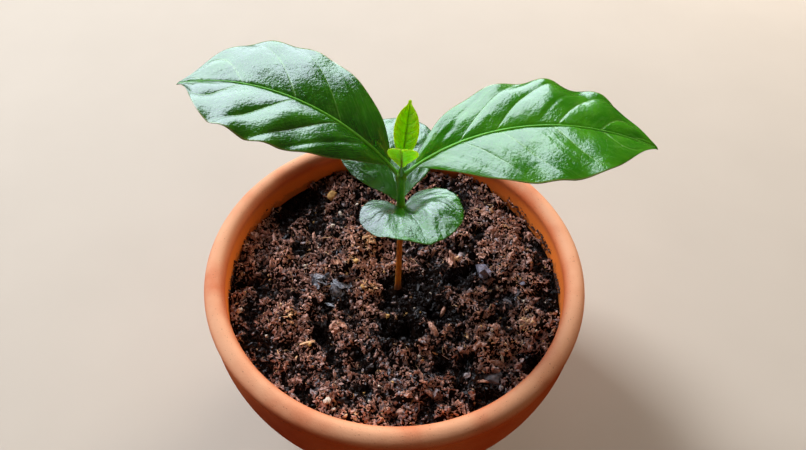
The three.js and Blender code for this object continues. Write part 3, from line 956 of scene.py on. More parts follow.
# %% Lay shreds, fibres and straws
def thread_piece(name, seed, count, longest, thickest, lift, steps, bend, tilt, tones=None):
    """Shreds in the soil's colours by place, or fibres with shares of four colours."""
    random = np.random.default_rng(seed)
    x, y = spread_out(random, count, SOIL_RADIUS - 0.6)
    length = random.uniform(0.3, 1, len(x)) ** 1.5 * longest
    thickness = random.uniform(0.45, 1, len(x)) * thickest
    raised = random.uniform(0, lift, len(x))
    line = thread_lines(random, x, y, length, raised, steps, bend, tilt)
    points, groups = threads(random, line, thickness)
    picked = dealt(random, x, y)
    if tones is not None:
        dealt_tones = random.choice([BROWN, RED, TAN, GREY], len(x), p=tones)
        # Painted shade: fibres that lie where the soil is black stay black.
        picked = np.where(picked == BLACK, BLACK, dealt_tones)
    choice = np.concatenate([np.repeat(picked, 3 * (steps - 1)), picked, picked])
    piece = mesh_piece(name, points, groups, SOILS, choice, smooth=tones is not None)
    settle(piece, "soil", "soil")


SHREDS = {"count": 5500, "steps": 4, "bend": 1.8, "tilt": 0.9}
thread_piece("soil_shreds_a", seed=11, longest=3.2, thickest=0.55, lift=0.6, **SHREDS)
thread_piece("soil_shreds_b", seed=12, longest=2.4, thickest=0.42, lift=0.9, **SHREDS)
thread_piece(
    "soil_fibres", seed=21, count=1100, longest=5.5, thickest=0.13, lift=1.4, steps=6,
    bend=2, tilt=0.5, tones=(0.3, 0.4, 0.22, 0.08),
)
thread_piece(
    "soil_straws", seed=22, count=110, longest=9, thickest=0.26, lift=1.4, steps=7,
    bend=1.2, tilt=0.2, tones=(0.3, 0.3, 0.35, 0.05),
)

# %% [markdown]
# Some pieces in the soil are large enough to be known one by one: white grains of perlite,
# tan seeds, flakes of bark, grey stones, and thin wet flakes left of the stem that mirror the
# light. They lie about where the photograph shows them, given in millimetres from the middle
# of the pot.

# %% List the larger pieces
WHITE_GRAINS = (  # each a place and a radius
    (-61, -16, 1.1), (-49, -27, 0.8), (-23, -55, 1.3), (-21, -57, 0.9), (41.5, -34, 1.1),
    (54.9, -24, 0.6), (42, -1.6, 0.9), (44, -2.5, 0.5), (9.9, -34, 0.7), (38, -23.5, 1.0),
    (-25, 37, 1.2), (-28, 28, 1.0), (-18, 42, 0.9), (-38, 7, 0.8), (-16, 36, 0.5),
    (52, -9, 0.6), (-5, -47, 0.5), (30, -52, 0.6),
)
TAN_GRAINS = (
    (-16.4, 7, 1.4), (-3, -14.2, 1.3), (-29.5, 47, 1.9), (-20, 3, 0.8), (-32, -31, 1.0),
    (-13, -4, 1.1),
)
BARK_FLAKES = (  # each a place, a radius and a soil colour
    (51, -17, 1.3, TAN), (52.6, -18.6, 1.1, TAN), (50, -18.8, 1.0, RED), (53.9, -19.8, 1.2, TAN),
    (52, -20.4, 0.9, TAN), (54.6, -17.9, 0.9, RED), (39.5, -35.5, 1.9, RED), (24, 12, 2.0, RED),
    (15, -23, 2.6, RED), (-57, 4, 2.0, BROWN), (3, -56, 1.6, RED), (-36, 24, 1.8, RED),
    (-33, -30, 1.5, TAN), (22, 33, 1.8, BROWN), (-52, 20, 2.0, BROWN), (33, -44, 1.4, RED),
    (-24, -22, 1.9, RED), (20, -10, 1.9, RED),
)
WET_FLAKES = (  # each a place and a radius
    (-31, 0.5, 1.9), (-33, -2.5, 1.6), (-29.5, -3, 1.6), (-28, 1.5, 1.3), (-31.5, -5, 1.3),
    (-34, 0, 1.0), (-22.5, -2, 2.0), (-20.5, 0.5, 1.5), (-24.5, -4.5, 1.6), (-21.5, -4.5, 1.3),
    (-26.5, -11, 1.5), (-19, -1.5, 1.0),
)
STONES = ((36.5, 4.5, 5.2), (38.2, -41.8, 3.2), (46, -8.6, 1.8), (52, -1, 1.2))
print("larger pieces:", len(WHITE_GRAINS + TAN_GRAINS + BARK_FLAKES + WET_FLAKES + STONES))

# %% [markdown]
# They are the same uneven lumps as the crumbs, set down at their places: long and flat ones
# for flakes, round ones for grains and stones. Smaller grains are sprinkled between them by
# chance. Grains and stones are minerals, so they get finishes of their own, and the flakes are
# bark and peat in the soil's colours.

# %% Lay the grains, flakes and stones
def mineral(name, dark, light, rough):
    finish = Finish(name)
    mottle = noise(place_on(finish), 1.6, detail=4, roughness=0.65)
    shade = mixed(step(mottle, 0.3, 0.7), colour(*dark), colour(*light))
    return surface(finish, mottle, 0.4, Base_Color=shade, Roughness=rough + mottle * 0.2)


def placed_lumps(
    name, spots, materials, choice, seed, stretch, uneven, tilt, sunk=0.0, fineness=2, smooth=True,
):
    """Lumps at chosen places, resting in the ground."""
    random = np.random.default_rng(seed)
    x, y, radii = np.array([spot[:3] for spot in spots], float).T
    z = ground(x, y) + radii * stretch[2] * (1 - sunk) + 0.3
    centres = np.column_stack([x, y, z])
    points, faces = lumps(random, centres, radii, fineness, stretch, uneven, tilt)
    picked = np.repeat(choice, len(faces) // len(x))
    piece = mesh_piece(name, points, [faces], materials, picked, smooth=smooth)
    settle(piece, "soil", "soil")


def sprinkled(seed, count, low, high):
    """More small grains, at random places."""
    random = np.random.default_rng(seed)
    x, y = spread_out(random, count, SOIL_RADIUS - 0.4)
    return list(zip(x, y, random.uniform(low, high, len(x))))


perlite = mineral("perlite", (206, 196, 184), (240, 234, 226), 0.6)
grain_tan = mineral("grain_tan", (176, 132, 76), (214, 176, 112), 0.5)
blue_stone = mineral("stone_blue", (78, 78, 94), (134, 132, 152), 0.5)
dark_stone = mineral("stone_dark", (64, 62, 66), (104, 98, 104), 0.5)
grains = [*WHITE_GRAINS, *sprinkled(31, 40, 0.2, 0.45)]
seeds = [*TAN_GRAINS, *sprinkled(32, 40, 0.3, 0.5)]
grain_kinds = np.repeat([0, 1], [len(grains), len(seeds)])
placed_lumps(
    "soil_grains", grains + seeds, [perlite, grain_tan], grain_kinds,
    seed=33, stretch=(1.1, 0.9, 0.7), uneven=0.5, tilt=1, sunk=0.2,
)
placed_lumps(
    "soil_flakes", BARK_FLAKES, SOILS, [flake[3] for flake in BARK_FLAKES],
    seed=34, stretch=(1.5, 0.5, 0.3), uneven=0.6, tilt=0.3, fineness=3,
)
# Painted sheen: the wet flakes' pale blue-grey stands for the light they mirror.
placed_lumps(
    "soil_wet_flakes", WET_FLAKES, SOILS, [WET_SHEEN] * len(WET_FLAKES),
    seed=36, stretch=(1.3, 1.0, 0.2), uneven=0.7, tilt=0.35, smooth=False,
)
placed_lumps(
    "soil_stones", STONES, [blue_stone, dark_stone], [0, 1, 1, 0],
    seed=35, stretch=(1.2, 0.8, 0.6), uneven=0.6, tilt=0.1, sunk=0.3, smooth=False,
)

# %% [markdown]
# Watering leaves earth on the inside of the pot. On the right the crumbs cling in a line that
# runs a few millimetres above the soil, and elsewhere they are scattered, most of them low.

# %% Stick crumbs to the wall
SMEARS = (  # lines on the wall, each with angles and heights
    ((57, 72.4), (55, 70.8), (53, 69.4)),
    ((41, 73.4), (40, 71.4), (37, 71.9), (34, 72.3), (32, 70.2), (30, 68.6)),
    ((27, 70.6), (24, 71.7), (20, 72.4), (17, 71.8), (13, 72.6)),
    ((10, 67.4), (4, 69), (-3, 71)),
    ((183, 68), (176, 70.5), (172, 67.5)),
    ((164, 71), (160, 68.6)),
)
CLINGING = (  # angles from and to, a height, a spread of the height and a count
    (-16, 60, 69.0, 1.5, 230),
    (155, 190, 68.6, 1.8, 90),
    (190, 330, 70.6, 1.0, 100),
    (0, 360, 70.6, 1.2, 160),
)
SMEAR_COUNT = 8  # crumbs for each millimetre of a smear, along the wall
SMEAR_SPREAD = (1.2, 0.8)  # of the angle in degrees and of the height
LOWEST, HIGHEST = SOIL_HEIGHT - 8, POT_HEIGHT - 6


def scattered(random):
    """Angles and heights of crumbs in loose groups along each stretch of the wall."""
    for start, end, height, spread, count in CLINGING:
        angle = random.uniform(start, end, count)
        knots = random.uniform(start, end, count // 6)
        near = knots[random.integers(0, len(knots), count)] + random.normal(0, 0.8, count)
        angle = np.where(random.uniform(0, 1, count) < 0.7, near, angle)
        wander = 0.8 * bumps(angle, 0 * angle, 9, 9)
        yield np.column_stack([angle, height + wander + random.normal(0, spread, count)])


def smeared(random):
    """Angles and heights of crumbs along each smear."""
    for line in SMEARS:
        angle, height = np.array(line, float).T
        along = np.radians(np.abs(np.diff(angle))).sum() * bowl_radius(SOIL_HEIGHT)
        share = random.uniform(0, len(line) - 1, int(SMEAR_COUNT * along))
        share = share + 0.12 * np.sin(9 * share)
        middle = [np.interp(share, range(len(line)), way) for way in (angle, height)]
        yield np.column_stack(middle) + random.normal(0, SMEAR_SPREAD, (len(share), 2))


def wall_crumbs():
    random = np.random.default_rng(41)
    angle, height = np.vstack([*scattered(random), *smeared(random)]).T
    angle = np.radians(angle)
    height = np.clip(height, LOWEST, HIGHEST)
    radii = 0.1 + 0.55 * random.uniform(0, 1, len(angle)) ** 4
    reach = bowl_radius(height) - radii * 0.3
    centres = np.column_stack([reach * np.cos(angle), reach * np.sin(angle), height])
    points, faces = lumps(random, centres, radii, fineness=1, stretch=(1.4, 0.7, 1), uneven=0.6)
    tones = random.choice([BLACK, DRY, RED], len(angle), p=[0.3, 0.6, 0.1])
    choice = np.repeat(tones, len(faces) // len(angle))
    piece = mesh_piece("soil_on_wall", points, [faces], SOILS, choice, smooth=False)
    settle(piece, "soil", "soil")


wall_crumbs()

# %% [markdown]
# The stem is a thin woody rod below the seed leaves and a soft green shoot above them. It
# tapers, swells at each pair of leaves, and carries a ridge down each side below the upper
# leaves. It is turned like the pot, and then its round section is pulled out at the ridges.

# %% Turn the stem
COTYLEDON_HEIGHT = 51.0
LEAF_HEIGHT = 65.6
STEM_OUTLINE = (  # heights above the foot, with radii
    (0, 1.5),
    (1.5, 1.3),
    (6, 1.15),
    (25, 1.05),
    (46.8, 1.0),
    (49.4, 1.35),
    (COTYLEDON_HEIGHT, 1.65),
    (52.6, 1.4),
    (54.6, 1.2),
    (62, 1.2),
    (64.2, 1.5),
    (LEAF_HEIGHT, 1.8),
    (66.6, 1.45),
    (67.2, 0.9),
)
UPPER_NODE = np.array([STEM_X, STEM_Y, STEM_FOOT + LEAF_HEIGHT])
LOWER_NODE = np.array([STEM_X, STEM_Y, STEM_FOOT + COTYLEDON_HEIGHT])
SMOOTHED_OVER = 9  # rings over which the outline's corners are rounded


def stem_mesh(rings=260, sides=48):
    """The turned stem with its ridges, uneven rings and slight lean."""
    heights = np.linspace(0, STEM_OUTLINE[-1][0], rings)
    radii = np.interp(heights, *np.array(STEM_OUTLINE).T)
    padded = np.pad(radii, SMOOTHED_OVER // 2, mode="edge")
    smoothed = np.convolve(padded, np.ones(SMOOTHED_OVER) / SMOOTHED_OVER, mode="valid")
    profile = np.column_stack([smoothed, heights])
    points, faces = turned(np.vstack([[0, 0], profile, [0, heights[-1] + 0.2]]), sides)
    x, y, z = points.T
    angle = np.arctan2(y, x)
    shoot = np.clip((z - COTYLEDON_HEIGHT) / 4, 0, 1)
    ridge = 1 + shoot * 0.16 * np.abs(np.cos(angle)) ** 6
    ridge = ridge - shoot * 0.06 * np.abs(np.sin(angle)) ** 2
    uneven = 1 + 0.03 * np.sin(z * 1.3 + angle * 2) + 0.02 * np.sin(z * 3.7 - angle * 3)
    lean = 0.25 * np.sin(np.pi * z / LEAF_HEIGHT)
    moved = np.column_stack([x * ridge * uneven + lean, y * ridge * uneven, z])
    return moved + [STEM_X, STEM_Y, STEM_FOOT], faces


stem_points, stem_faces = stem_mesh()
print("stem:", len(stem_points), "points, seed leaves at", LOWER_NODE, "leaves at", UPPER_NODE)

# %% [markdown]
# The stem's colour changes with its height: brown and corky at the foot, orange brown above,
# olive below the seed leaves and fresh green at the top, with fine streaks along it. Noise
# that is stretched upwards makes the streaks, and also moves the borders between the colours
# up and down a little, because no plant changes its colour along a level line.

# %% Finish the stem
CORK_UP_TO, BARK_UP_TO, GREEN_FROM = ((STEM_FOOT + height) * MM for height in (8, 42, 56))


def stem_finish():
    finish = Finish("stem")
    place = place_on(finish)
    x, _, z = parts_of(place)
    streaks = noise(stretched(place, (1, 1, 0.12)), 0.5, detail=3, roughness=0.6)
    bark = mixed(step(streaks, 0.35, 0.65), colour(150, 84, 10), colour(200, 132, 24))
    bark = mixed(step(z, CORK_UP_TO, CORK_UP_TO - 0.008), bark, colour(92, 56, 32))
    green = mixed(step(streaks, 0.3, 0.7), colour(52, 138, 2), colour(104, 184, 10))
    ridge = step(abs(x - STEM_X * MM), 0.0006, 0.0012)
    green = mixed(ridge * 0.6, green, colour(140, 204, 60))
    bark = mixed(step(z + (streaks - 0.5) * 0.004, BARK_UP_TO, GREEN_FROM), bark, green)
    return surface(
        finish, streaks, 0.1, Base_Color=bark, Roughness=0.55,
        Subsurface_Weight=0.15, Subsurface_Radius=(0.001, 0.001, 0.0005), Subsurface_Scale=1.0,
    )


settle(mesh_piece("seedling_stem", stem_points, stem_faces, [stem_finish()]), "stem", "stem")

# %% [markdown]
# A leaf follows its midrib, a curve that leaves the stem steeply, levels out and droops. A
# handful of numbers describes each leaf, in a dataclass, so that one set of functions can make
# every leaf of the plant. Where the leaf's two halves differ, a pair gives the left one and the
# right one, as seen from the stem.

# %% Describe a leaf
@dataclass
class Leaf:
    """Sizes in millimetres and angles in degrees; shares are of the leaf's length."""

    length: float
    petiole: float  # share of the length that is bare stalk
    heading: float  # from +X towards +Y, at mid-length
    turn: float  # how far the heading swings from base to tip
    rise: float  # slope at the base
    droop: float  # how the slope changes towards the tip
    lift: float  # the same, but felt mostly near the tip
    roll: float  # how far the blade leans about its midrib at the base
    twist: float  # how that lean changes towards the tip
    half: tuple  # greatest widths of the two halves
    swell: float  # how fast the blade widens from its base
    taper: float  # how fast it narrows to its tip
    point: float  # how much the last part is drawn in
    fold: tuple  # how far each half is folded up
    curl: tuple  # how far each margin bends down
    veins: tuple  # where the side veins of each half leave the midrib
    vein_slant: float
    quilt: tuple  # height of the bulges between the veins
    stalk_radius: float = 1.15
    thickness: float = 0.42
    minor_veins: tuple = ()  # each a place, how deep its crease is, and a width
    wave: tuple = (0, 0, 0, 1)  # left and right height, crest, spacing
    start: tuple = (0, 0, 0)
    ripple: float = 1.0
    blunt: float = 0.12  # half width at the very tip


LEAF_LEFT = Leaf(
    length=87, petiole=0.06, heading=164, turn=18, rise=47, droop=-63.5, lift=-3, roll=-8,
    twist=14, half=(23, 24), swell=1.0, taper=0.75, point=0.8, fold=(4.2, 16.5),
    curl=(0.12, 0.22), veins=((0.31, 0.505, 0.72, 0.88), (0.31, 0.505, 0.72, 0.88)),
    minor_veins=((0.15, 0.4, 0.03),), vein_slant=0.28, quilt=(1.3, 1.1),
    wave=(1.35, 0.8, 0.52, 0.167),
)
LEAF_RIGHT = Leaf(
    length=90, petiole=0.06, heading=1, turn=-25, rise=45.5, droop=-80, lift=15, roll=20,
    twist=-31, half=(23.4, 22.7), swell=1.1, taper=0.82, point=0.55, fold=(10.5, 3.5),
    curl=(0.25, 0.165), veins=((0.255, 0.397, 0.618, 0.775, 0.9), (0.26, 0.41, 0.6, 0.78, 0.9)),
    minor_veins=((0.14, 0.35, 0.03), (0.54, 0.3, 0.012)), vein_slant=0.25, quilt=(0.85, 0.7),
    wave=(2.2, 0.8, 0.6, 0.19), blunt=0.4,
)
print("a leaf has", len(Leaf.__dataclass_fields__), "settings")

# %% [markdown]
# The midrib is found by adding up short steps, each in the direction that the leaf has at that
# share of its length. The blade's width follows a curve that swells from the stalk and tapers
# to the tip, drawn in a little just before it, as coffee leaves are.

# %% Follow the midrib
def leaf_axes(leaf, along):
    """The directions forward, left and up out of the blade, at each share of the length."""
    heading = np.radians(leaf.heading + leaf.turn * (along - 0.5))
    rise = np.radians(leaf.rise + leaf.droop * along + leaf.lift * along ** 2)
    roll = np.radians(leaf.roll + leaf.twist * along)[..., None]
    reach = np.cos(rise)
    forward = np.stack([reach * np.cos(heading), reach * np.sin(heading), np.sin(rise)], -1)
    level = np.stack([-np.sin(heading), np.cos(heading), 0 * heading], -1)
    left = np.cos(roll) * level + np.sin(roll) * np.cross(forward, level)
    return forward, left, np.cross(forward, left)


def midrib(leaf, along, steps=400):
    """Points of the midrib, by adding up short steps forward."""
    middles = (np.arange(steps) + 0.5) / steps
    forward, _, _ = leaf_axes(leaf, middles)
    line = np.vstack([np.zeros(3), np.cumsum(forward, axis=0) * leaf.length / steps]) + leaf.start
    ends = np.linspace(0, 1, steps + 1)
    return np.stack([np.interp(along, ends, line[:, axis]) for axis in range(3)], -1)


def half_width(leaf, along, side):
    share = np.clip((along - leaf.petiole) / (1 - leaf.petiole), 0, 1)
    swell, taper = leaf.swell, leaf.taper
    widest = (swell / (swell + taper)) ** swell * (taper / (swell + taper)) ** taper
    oval = share ** swell * (1 - share) ** taper / widest
    tip = 1 - leaf.point * np.exp(-(((1 - share) / 0.12) ** 2))
    blunt = leaf.blunt * np.sqrt(np.clip(1.001 - share, 0, 0.015) / 0.015)
    return np.maximum(blunt, side * oval * tip)


print("tips of the grown leaves:", midrib(LEAF_LEFT, [1]).round(), midrib(LEAF_RIGHT, [1]).round())

# %% [markdown]
# The side veins leave the midrib at given shares of the length and curve towards the tip. One
# number says where a point lies between them: follow the vein through it back to the midrib.
# The bulges, the creases and, later, the pale vein lines all use this number.
#
# Each half of the blade is folded up a little and curls down at its edge, and bulges between
# its side veins like a quilt. These are the solid's own rules, so the fine leaf lies where the
# solid is. It adds what the solid leaves out: creases along the veins, a channel for the
# midrib, and small ripples.

# %% Quilt the blade
def by_side(across, pair):
    """The left value of a pair on the left half of a blade, and the right one on the right."""
    return np.where(across > 0, *pair)


def vein_place(leaf, along, across):
    """Where the vein through a point would leave the midrib."""
    slant = leaf.vein_slant * (1 - 0.45 * along)
    out = np.abs(across)
    return along - slant * (out + 0.45 * out ** 4)


def quilting(leaf, place, across):
    """From 0 on a vein to 1 midway between two veins."""
    relief = np.zeros_like(place)
    for veins, here in zip(leaf.veins, (across >= 0, across < 0)):
        lines = np.array([-0.35, *veins, 1])
        index = np.clip(np.searchsorted(lines, place, side="right") - 1, 0, len(lines) - 2)
        share = np.clip((place - lines[index]) / (lines[index + 1] - lines[index]), 0, 1)
        relief = np.where(here, np.sin(np.pi * share) ** 0.7, relief)
    for vein, depth, width in leaf.minor_veins:
        relief = relief * (1 - depth * np.exp(-(((place - vein) / width) ** 2)))
    return relief * (1 - np.exp(-((across / 0.25) ** 2))) * (1 - 0.5 * np.abs(across) ** 6)


def blade_height(leaf, along, across, out, side, fold):
    """How far the upper face stands above the midrib's plane."""
    quilt = by_side(across, (leaf.quilt[0], leaf.quilt[1] * (1.25 - along)))
    quilt = quilt * quilting(leaf, vein_place(leaf, along, across), across)
    *wave_heights, crest, spacing = leaf.wave
    wave = by_side(across, wave_heights) * along
    wave = wave * np.cos(2 * np.pi * (along - crest) / spacing) * np.abs(across) ** 2.5
    wave = wave * np.clip(4 * (1 - along), 0, 1)
    fade = np.clip(np.minimum(8 * (1 - along), 8 * (along - leaf.petiole)), 0, 1)
    x, y = along * leaf.length, across * side
    calm = 1 - 0.8 * np.abs(across) ** 4
    ripple = leaf.ripple * calm * (0.14 * bumps(x, y, 5, 51) + 0.05 * bumps(x, y, 2.2, 52))
    channel = 0.3 * np.exp(-((out / (0.4 + 0.9 * (1 - along))) ** 2)) * leaf.stalk_radius
    curl = by_side(across, leaf.curl)
    return out * np.sin(fold) - curl * out ** 2 / side + (quilt + wave + ripple) * fade - channel


def blade_points(leaf, along, across):
    """Points of the upper face, and the direction up out of it."""
    side = by_side(across, leaf.half)
    fold = np.radians(by_side(across, leaf.fold))
    out = np.abs(across) * half_width(leaf, along, side)
    height = blade_height(leaf, along, across, out, side, fold)
    _, left, normal = leaf_axes(leaf, along)
    aside = np.sign(across) * out * np.cos(fold)
    return midrib(leaf, along) + left * aside[..., None] + normal * height[..., None], normal


widths = half_width(LEAF_LEFT, 0.5, np.array(LEAF_LEFT.half))
print("the left leaf's halves, halfway along:", widths.round(1), "mm")

# %% [markdown]
# The blade is a grid of points with an upper and a lower face, sewn together round the edge,
# so it is one closed skin. The stalk and the midrib are one tube that thins out towards the
# tip: it lies in the channel, where it shows from above as a raised pale line. A Solidify
# modifier could thicken the blade, but it would keep the edge as thick as the middle.

# %% Sew skins and tubes
def shell(upper, lower):
    """A closed skin between two grids of points, with faces above, below and round the edge."""
    rows, columns = upper.shape[:2]
    points = np.concatenate([upper.reshape(-1, 3), lower.reshape(-1, 3)])
    top = np.arange(rows * columns).reshape(rows, columns)
    under = top + top.size
    up = quads(top[:-1, :-1], top[1:, :-1], top[1:, 1:], top[:-1, 1:])
    down = quads(under[:-1, :-1], under[:-1, 1:], under[1:, 1:], under[1:, :-1])
    border = np.concatenate([top[0, :-1], top[:-1, -1], top[-1, :0:-1], top[:0:-1, 0]])
    after = np.roll(border, -1)
    return points, [up, down, quads(border, after, after + top.size, border + top.size)]


def tube(line, sideways, upward, radii, sides=14):
    """Points, walls and end faces of a tube along a line."""
    angles = 2 * np.pi * np.arange(sides) / sides
    ring = np.cos(angles)[None, :, None] * sideways[:, None]
    ring = ring + np.sin(angles)[None, :, None] * upward[:, None]
    points = (line[:, None] + ring * radii[:, None, None]).reshape(-1, 3)
    here, beside = ring_numbers(len(line), sides)
    walls = quads(here[:-1], here[1:], beside[1:], beside[:-1])
    start, end = len(points), len(points) + 1
    ends = np.vstack([fan(start, here[0], beside[0]), fan(end, beside[-1], here[-1])])
    return np.vstack([points, line[0], line[-1]]), walls, ends


def rib_tube(leaf):
    """A leaf's stalk and midrib."""
    share = np.linspace(0, 0.985, 90)
    _, left, up = leaf_axes(leaf, share)
    foot = 0.25 * np.exp(-((share / 0.04) ** 2))
    radii = leaf.stalk_radius * (0.12 + 0.5 * (1 - share) ** 1.5 + foot)
    sunk = np.interp(share, [0, leaf.petiole, 1], [0.6, 0.7, 0.75]) * radii
    return tube(midrib(leaf, share) - up * sunk[:, None], left, up, radii)


print("stalk and midrib:", len(rib_tube(LEAF_LEFT)[0]), "points")

# %% [markdown]
# The side veins are thin pale lines. Each point's place between the veins is known, so a ramp
# over that number draws them: a peak at each vein. The left half has its own ramp and the
# right half another, and the sign of the second coordinate picks between them.

# %% Draw the veins
def vein_ramp(place, veins, width):
    """1 on each vein, falling to 0 a little to its side."""
    stops = [(0, 0)]
    for vein in veins:
        stops += [(vein - width, 0), (vein, 1), (vein + width, 0)]
    return place.finish.node("ShaderNodeValToRGB", {"stops": stops}, {"Fac": place})["Color"]


def vein_lines(leaf, blade, width):
    """1 on the side veins, fading towards the edge, and how far out from the midrib a point is."""
    place, across, _ = parts_of(blade)
    out = abs(across)
    left_lines, right_lines = (vein_ramp(place, veins, width) for veins in leaf.veins)
    lines = mixed(step(across, -0.001, 0.001), right_lines, left_lines)
    return red_of(lines) * step(out, 1.0, 0.55), out


print("side veins:", [len(veins) for leaf in (LEAF_LEFT, LEAF_RIGHT) for veins in leaf.veins])

# %% [markdown]
# A coffee leaf is deep green and waxy, and its shine looks pebbly: the fine network between
# the veins breaks it up. A shader's coat doesn't follow the bumps and would mirror the lamps
# like lacquer, so the shine comes from the leaf's own high index of refraction, under a thin
# coat only. A narrow pale rim runs round the edge, and a little dust lies on top. The underside is
# paler and duller, and the rib is a light, smooth green.

# %% Mix the leaf finishes
LEAF_GLOW = {"Subsurface_Radius": (0.001, 0.0025, 0.0002), "Subsurface_Scale": 1.0}


def leaf_finish(name, leaf, greens, vein_tint, rim, gloss, glow, index, coat, relief):
    """The upper face, from a deep and a fresh green and the tints of its veins and edge."""
    finish = Finish(name)
    place = place_on(finish)
    blade = finish.node("ShaderNodeUVMap", {"uv_map": "blade"})["UV"]
    lines, out = vein_lines(leaf, blade, 0.006)
    along_veins = stretched(blade, (leaf.length * MM, 0.3 * leaf.half[0] * MM, 1))
    streaks = noise(along_veins, 1.4, detail=2, roughness=0.6)
    grain = noise(place, 1.5, detail=3, roughness=0.65)
    cloud = noise(place, 9, detail=3)
    green = mixed(step(cloud, 0.3, 0.75), *greens)
    green = mixed(step(streaks, 0.45, 0.75) * 0.15, green, vein_tint)
    green = mixed(lines * 0.6, green, vein_tint)
    green = mixed(step(out, 0.972, 0.99) * 0.8, green, rim)
    dust = specks(place, 3.4, 0.16, 0.3)
    green = mixed(dust * 0.6, green, colour(220, 226, 214))
    fine = noise(place, 0.7, detail=1)
    height = streaks * 0.25 + grain * 0.8 + fine * 0.3 - lines * 0.5
    pebbles = step(fine * 0.35 + grain * 0.65, 0.35, 0.65)
    rough = gloss + 0.12 * pebbles
    waxy = coat * (1 - 0.35 * pebbles) if coat else 0.0
    return surface(
        finish, height, relief, Base_Color=green, Roughness=rough, IOR=index, Coat_Weight=waxy,
        Coat_Roughness=0.1, Subsurface_Weight=glow, **LEAF_GLOW,
    )


def underside_finish(name, leaf):
    """Paler and duller than the upper face, with its side veins raised."""
    finish = Finish(name)
    blade = finish.node("ShaderNodeUVMap", {"uv_map": "blade"})["UV"]
    lines, _ = vein_lines(leaf, blade, 0.012)
    cloud = noise(place_on(finish), 4, detail=4, roughness=0.6)
    green = mixed(step(cloud, 0.3, 0.7), colour(70, 122, 40), colour(94, 146, 58))
    green = mixed(lines * 0.7, green, colour(140, 180, 96))
    return surface(finish, cloud * 0.5 + lines, 0.25, Base_Color=green, Roughness=0.5)


def rib_finish(name, tint, dark):
    finish = Finish(name)
    streaks = noise(place_on(finish), 1.2, detail=2)
    green = mixed(streaks, dark, tint)
    return surface(finish, streaks, 0.05, Base_Color=green, Roughness=0.35, Coat_Weight=0.3)


midrib_finish = rib_finish("midrib", colour(132, 222, 76), colour(84, 176, 36))
print("midrib finish:", len(midrib_finish.node_tree.nodes), "nodes")

# %% [markdown]
# Skin and rib are joined into one mesh with three finishes: the upper face, the underside with
# the edge, and the rib. Each point of the skin keeps its place on the blade as a UV coordinate,
# the number between the veins and how far out it lies, and the finish draws the veins from
# that. The columns of the grid lie closer together near the midrib, where the blade bends most.
#
# The two grown leaves spread to the left and to the right. The left one is dark, and the right
# one is painted a brighter green for the light that comes through it from behind.

# %% Make the grown leaves
TOP, UNDER, RIB = range(3)  # the order of a leaf's finishes


def joined(name, node, points, faces, kinds, uvs, rib, materials):
    """A blade's skin and its rib as one fine piece, moved to where they leave the stem."""
    rib_points, walls, ends = rib
    faces = [*faces, walls + len(points), ends + len(points)]
    choice = np.repeat([*kinds, RIB, RIB], [len(group) for group in faces])
    uvs = np.vstack([uvs, uvs, np.zeros((len(rib_points), 2))])
    points = np.vstack([points, rib_points]) + node
    return mesh_piece("fine_" + name, points, faces, materials, choice, uvs=uvs)


def leaf_piece(name, leaf, slot, materials, rows=200, columns=90):
    """A fine leaf that stands for the solid of that name."""
    along = leaf.petiole + (1 - leaf.petiole) * np.linspace(0, 1, rows + 1)
    spread = np.linspace(-1, 1, columns + 1)
    spread = np.sign(spread) * np.abs(spread) ** 1.3
    along, across = np.meshgrid(along, spread, indexing="ij")
    upper, normal = blade_points(leaf, along, across)
    to_tip = 0.5 + 0.5 * np.clip(6 * (1 - along), 0, 1)
    thin = leaf.thickness * (1 - 0.55 * np.abs(across) ** 3) * to_tip
    points, skin = shell(upper, upper - normal * thin[..., None])
    uvs = np.stack([vein_place(leaf, along, across), across], -1).reshape(-1, 2)
    kinds = [TOP, UNDER, UNDER]
    piece = joined(name, UPPER_NODE, points, skin, kinds, uvs, rib_tube(leaf), materials)
    settle(piece, slot, name)


DEEP_GREENS = (colour(30, 100, 0), colour(52, 130, 2))
# Painted light: brighter greens for the right leaf, for the light that comes through it.
GREENS_WITH_PAINTED_LIGHT = (colour(46, 130, 4), colour(72, 154, 18))
GROWN = {
    "vein_tint": colour(132, 196, 86), "rim": colour(150, 178, 90),
    "gloss": 0.1, "glow": 0.2, "coat": 0.25,
}
for name, leaf, greens, index, relief in (
    ("leaf_left", LEAF_LEFT, DEEP_GREENS, 2.4, 0.27),
    ("leaf_right", LEAF_RIGHT, GREENS_WITH_PAINTED_LIGHT, 2.2, 0.19),
):
    skin = leaf_finish(name, leaf, greens, index=index, relief=relief, **GROWN)
    leaf_piece(name, leaf, "leaf", [skin, underside_finish(name + "_under", leaf), midrib_finish])

# %% [markdown]
# The two youngest leaves stand upright at the tip, folded along their midribs. They are thin
# and lime green, and light comes through them, so their finish has more glow under the skin
# and no coat. The front one stands in the light and gets the brighter greens.

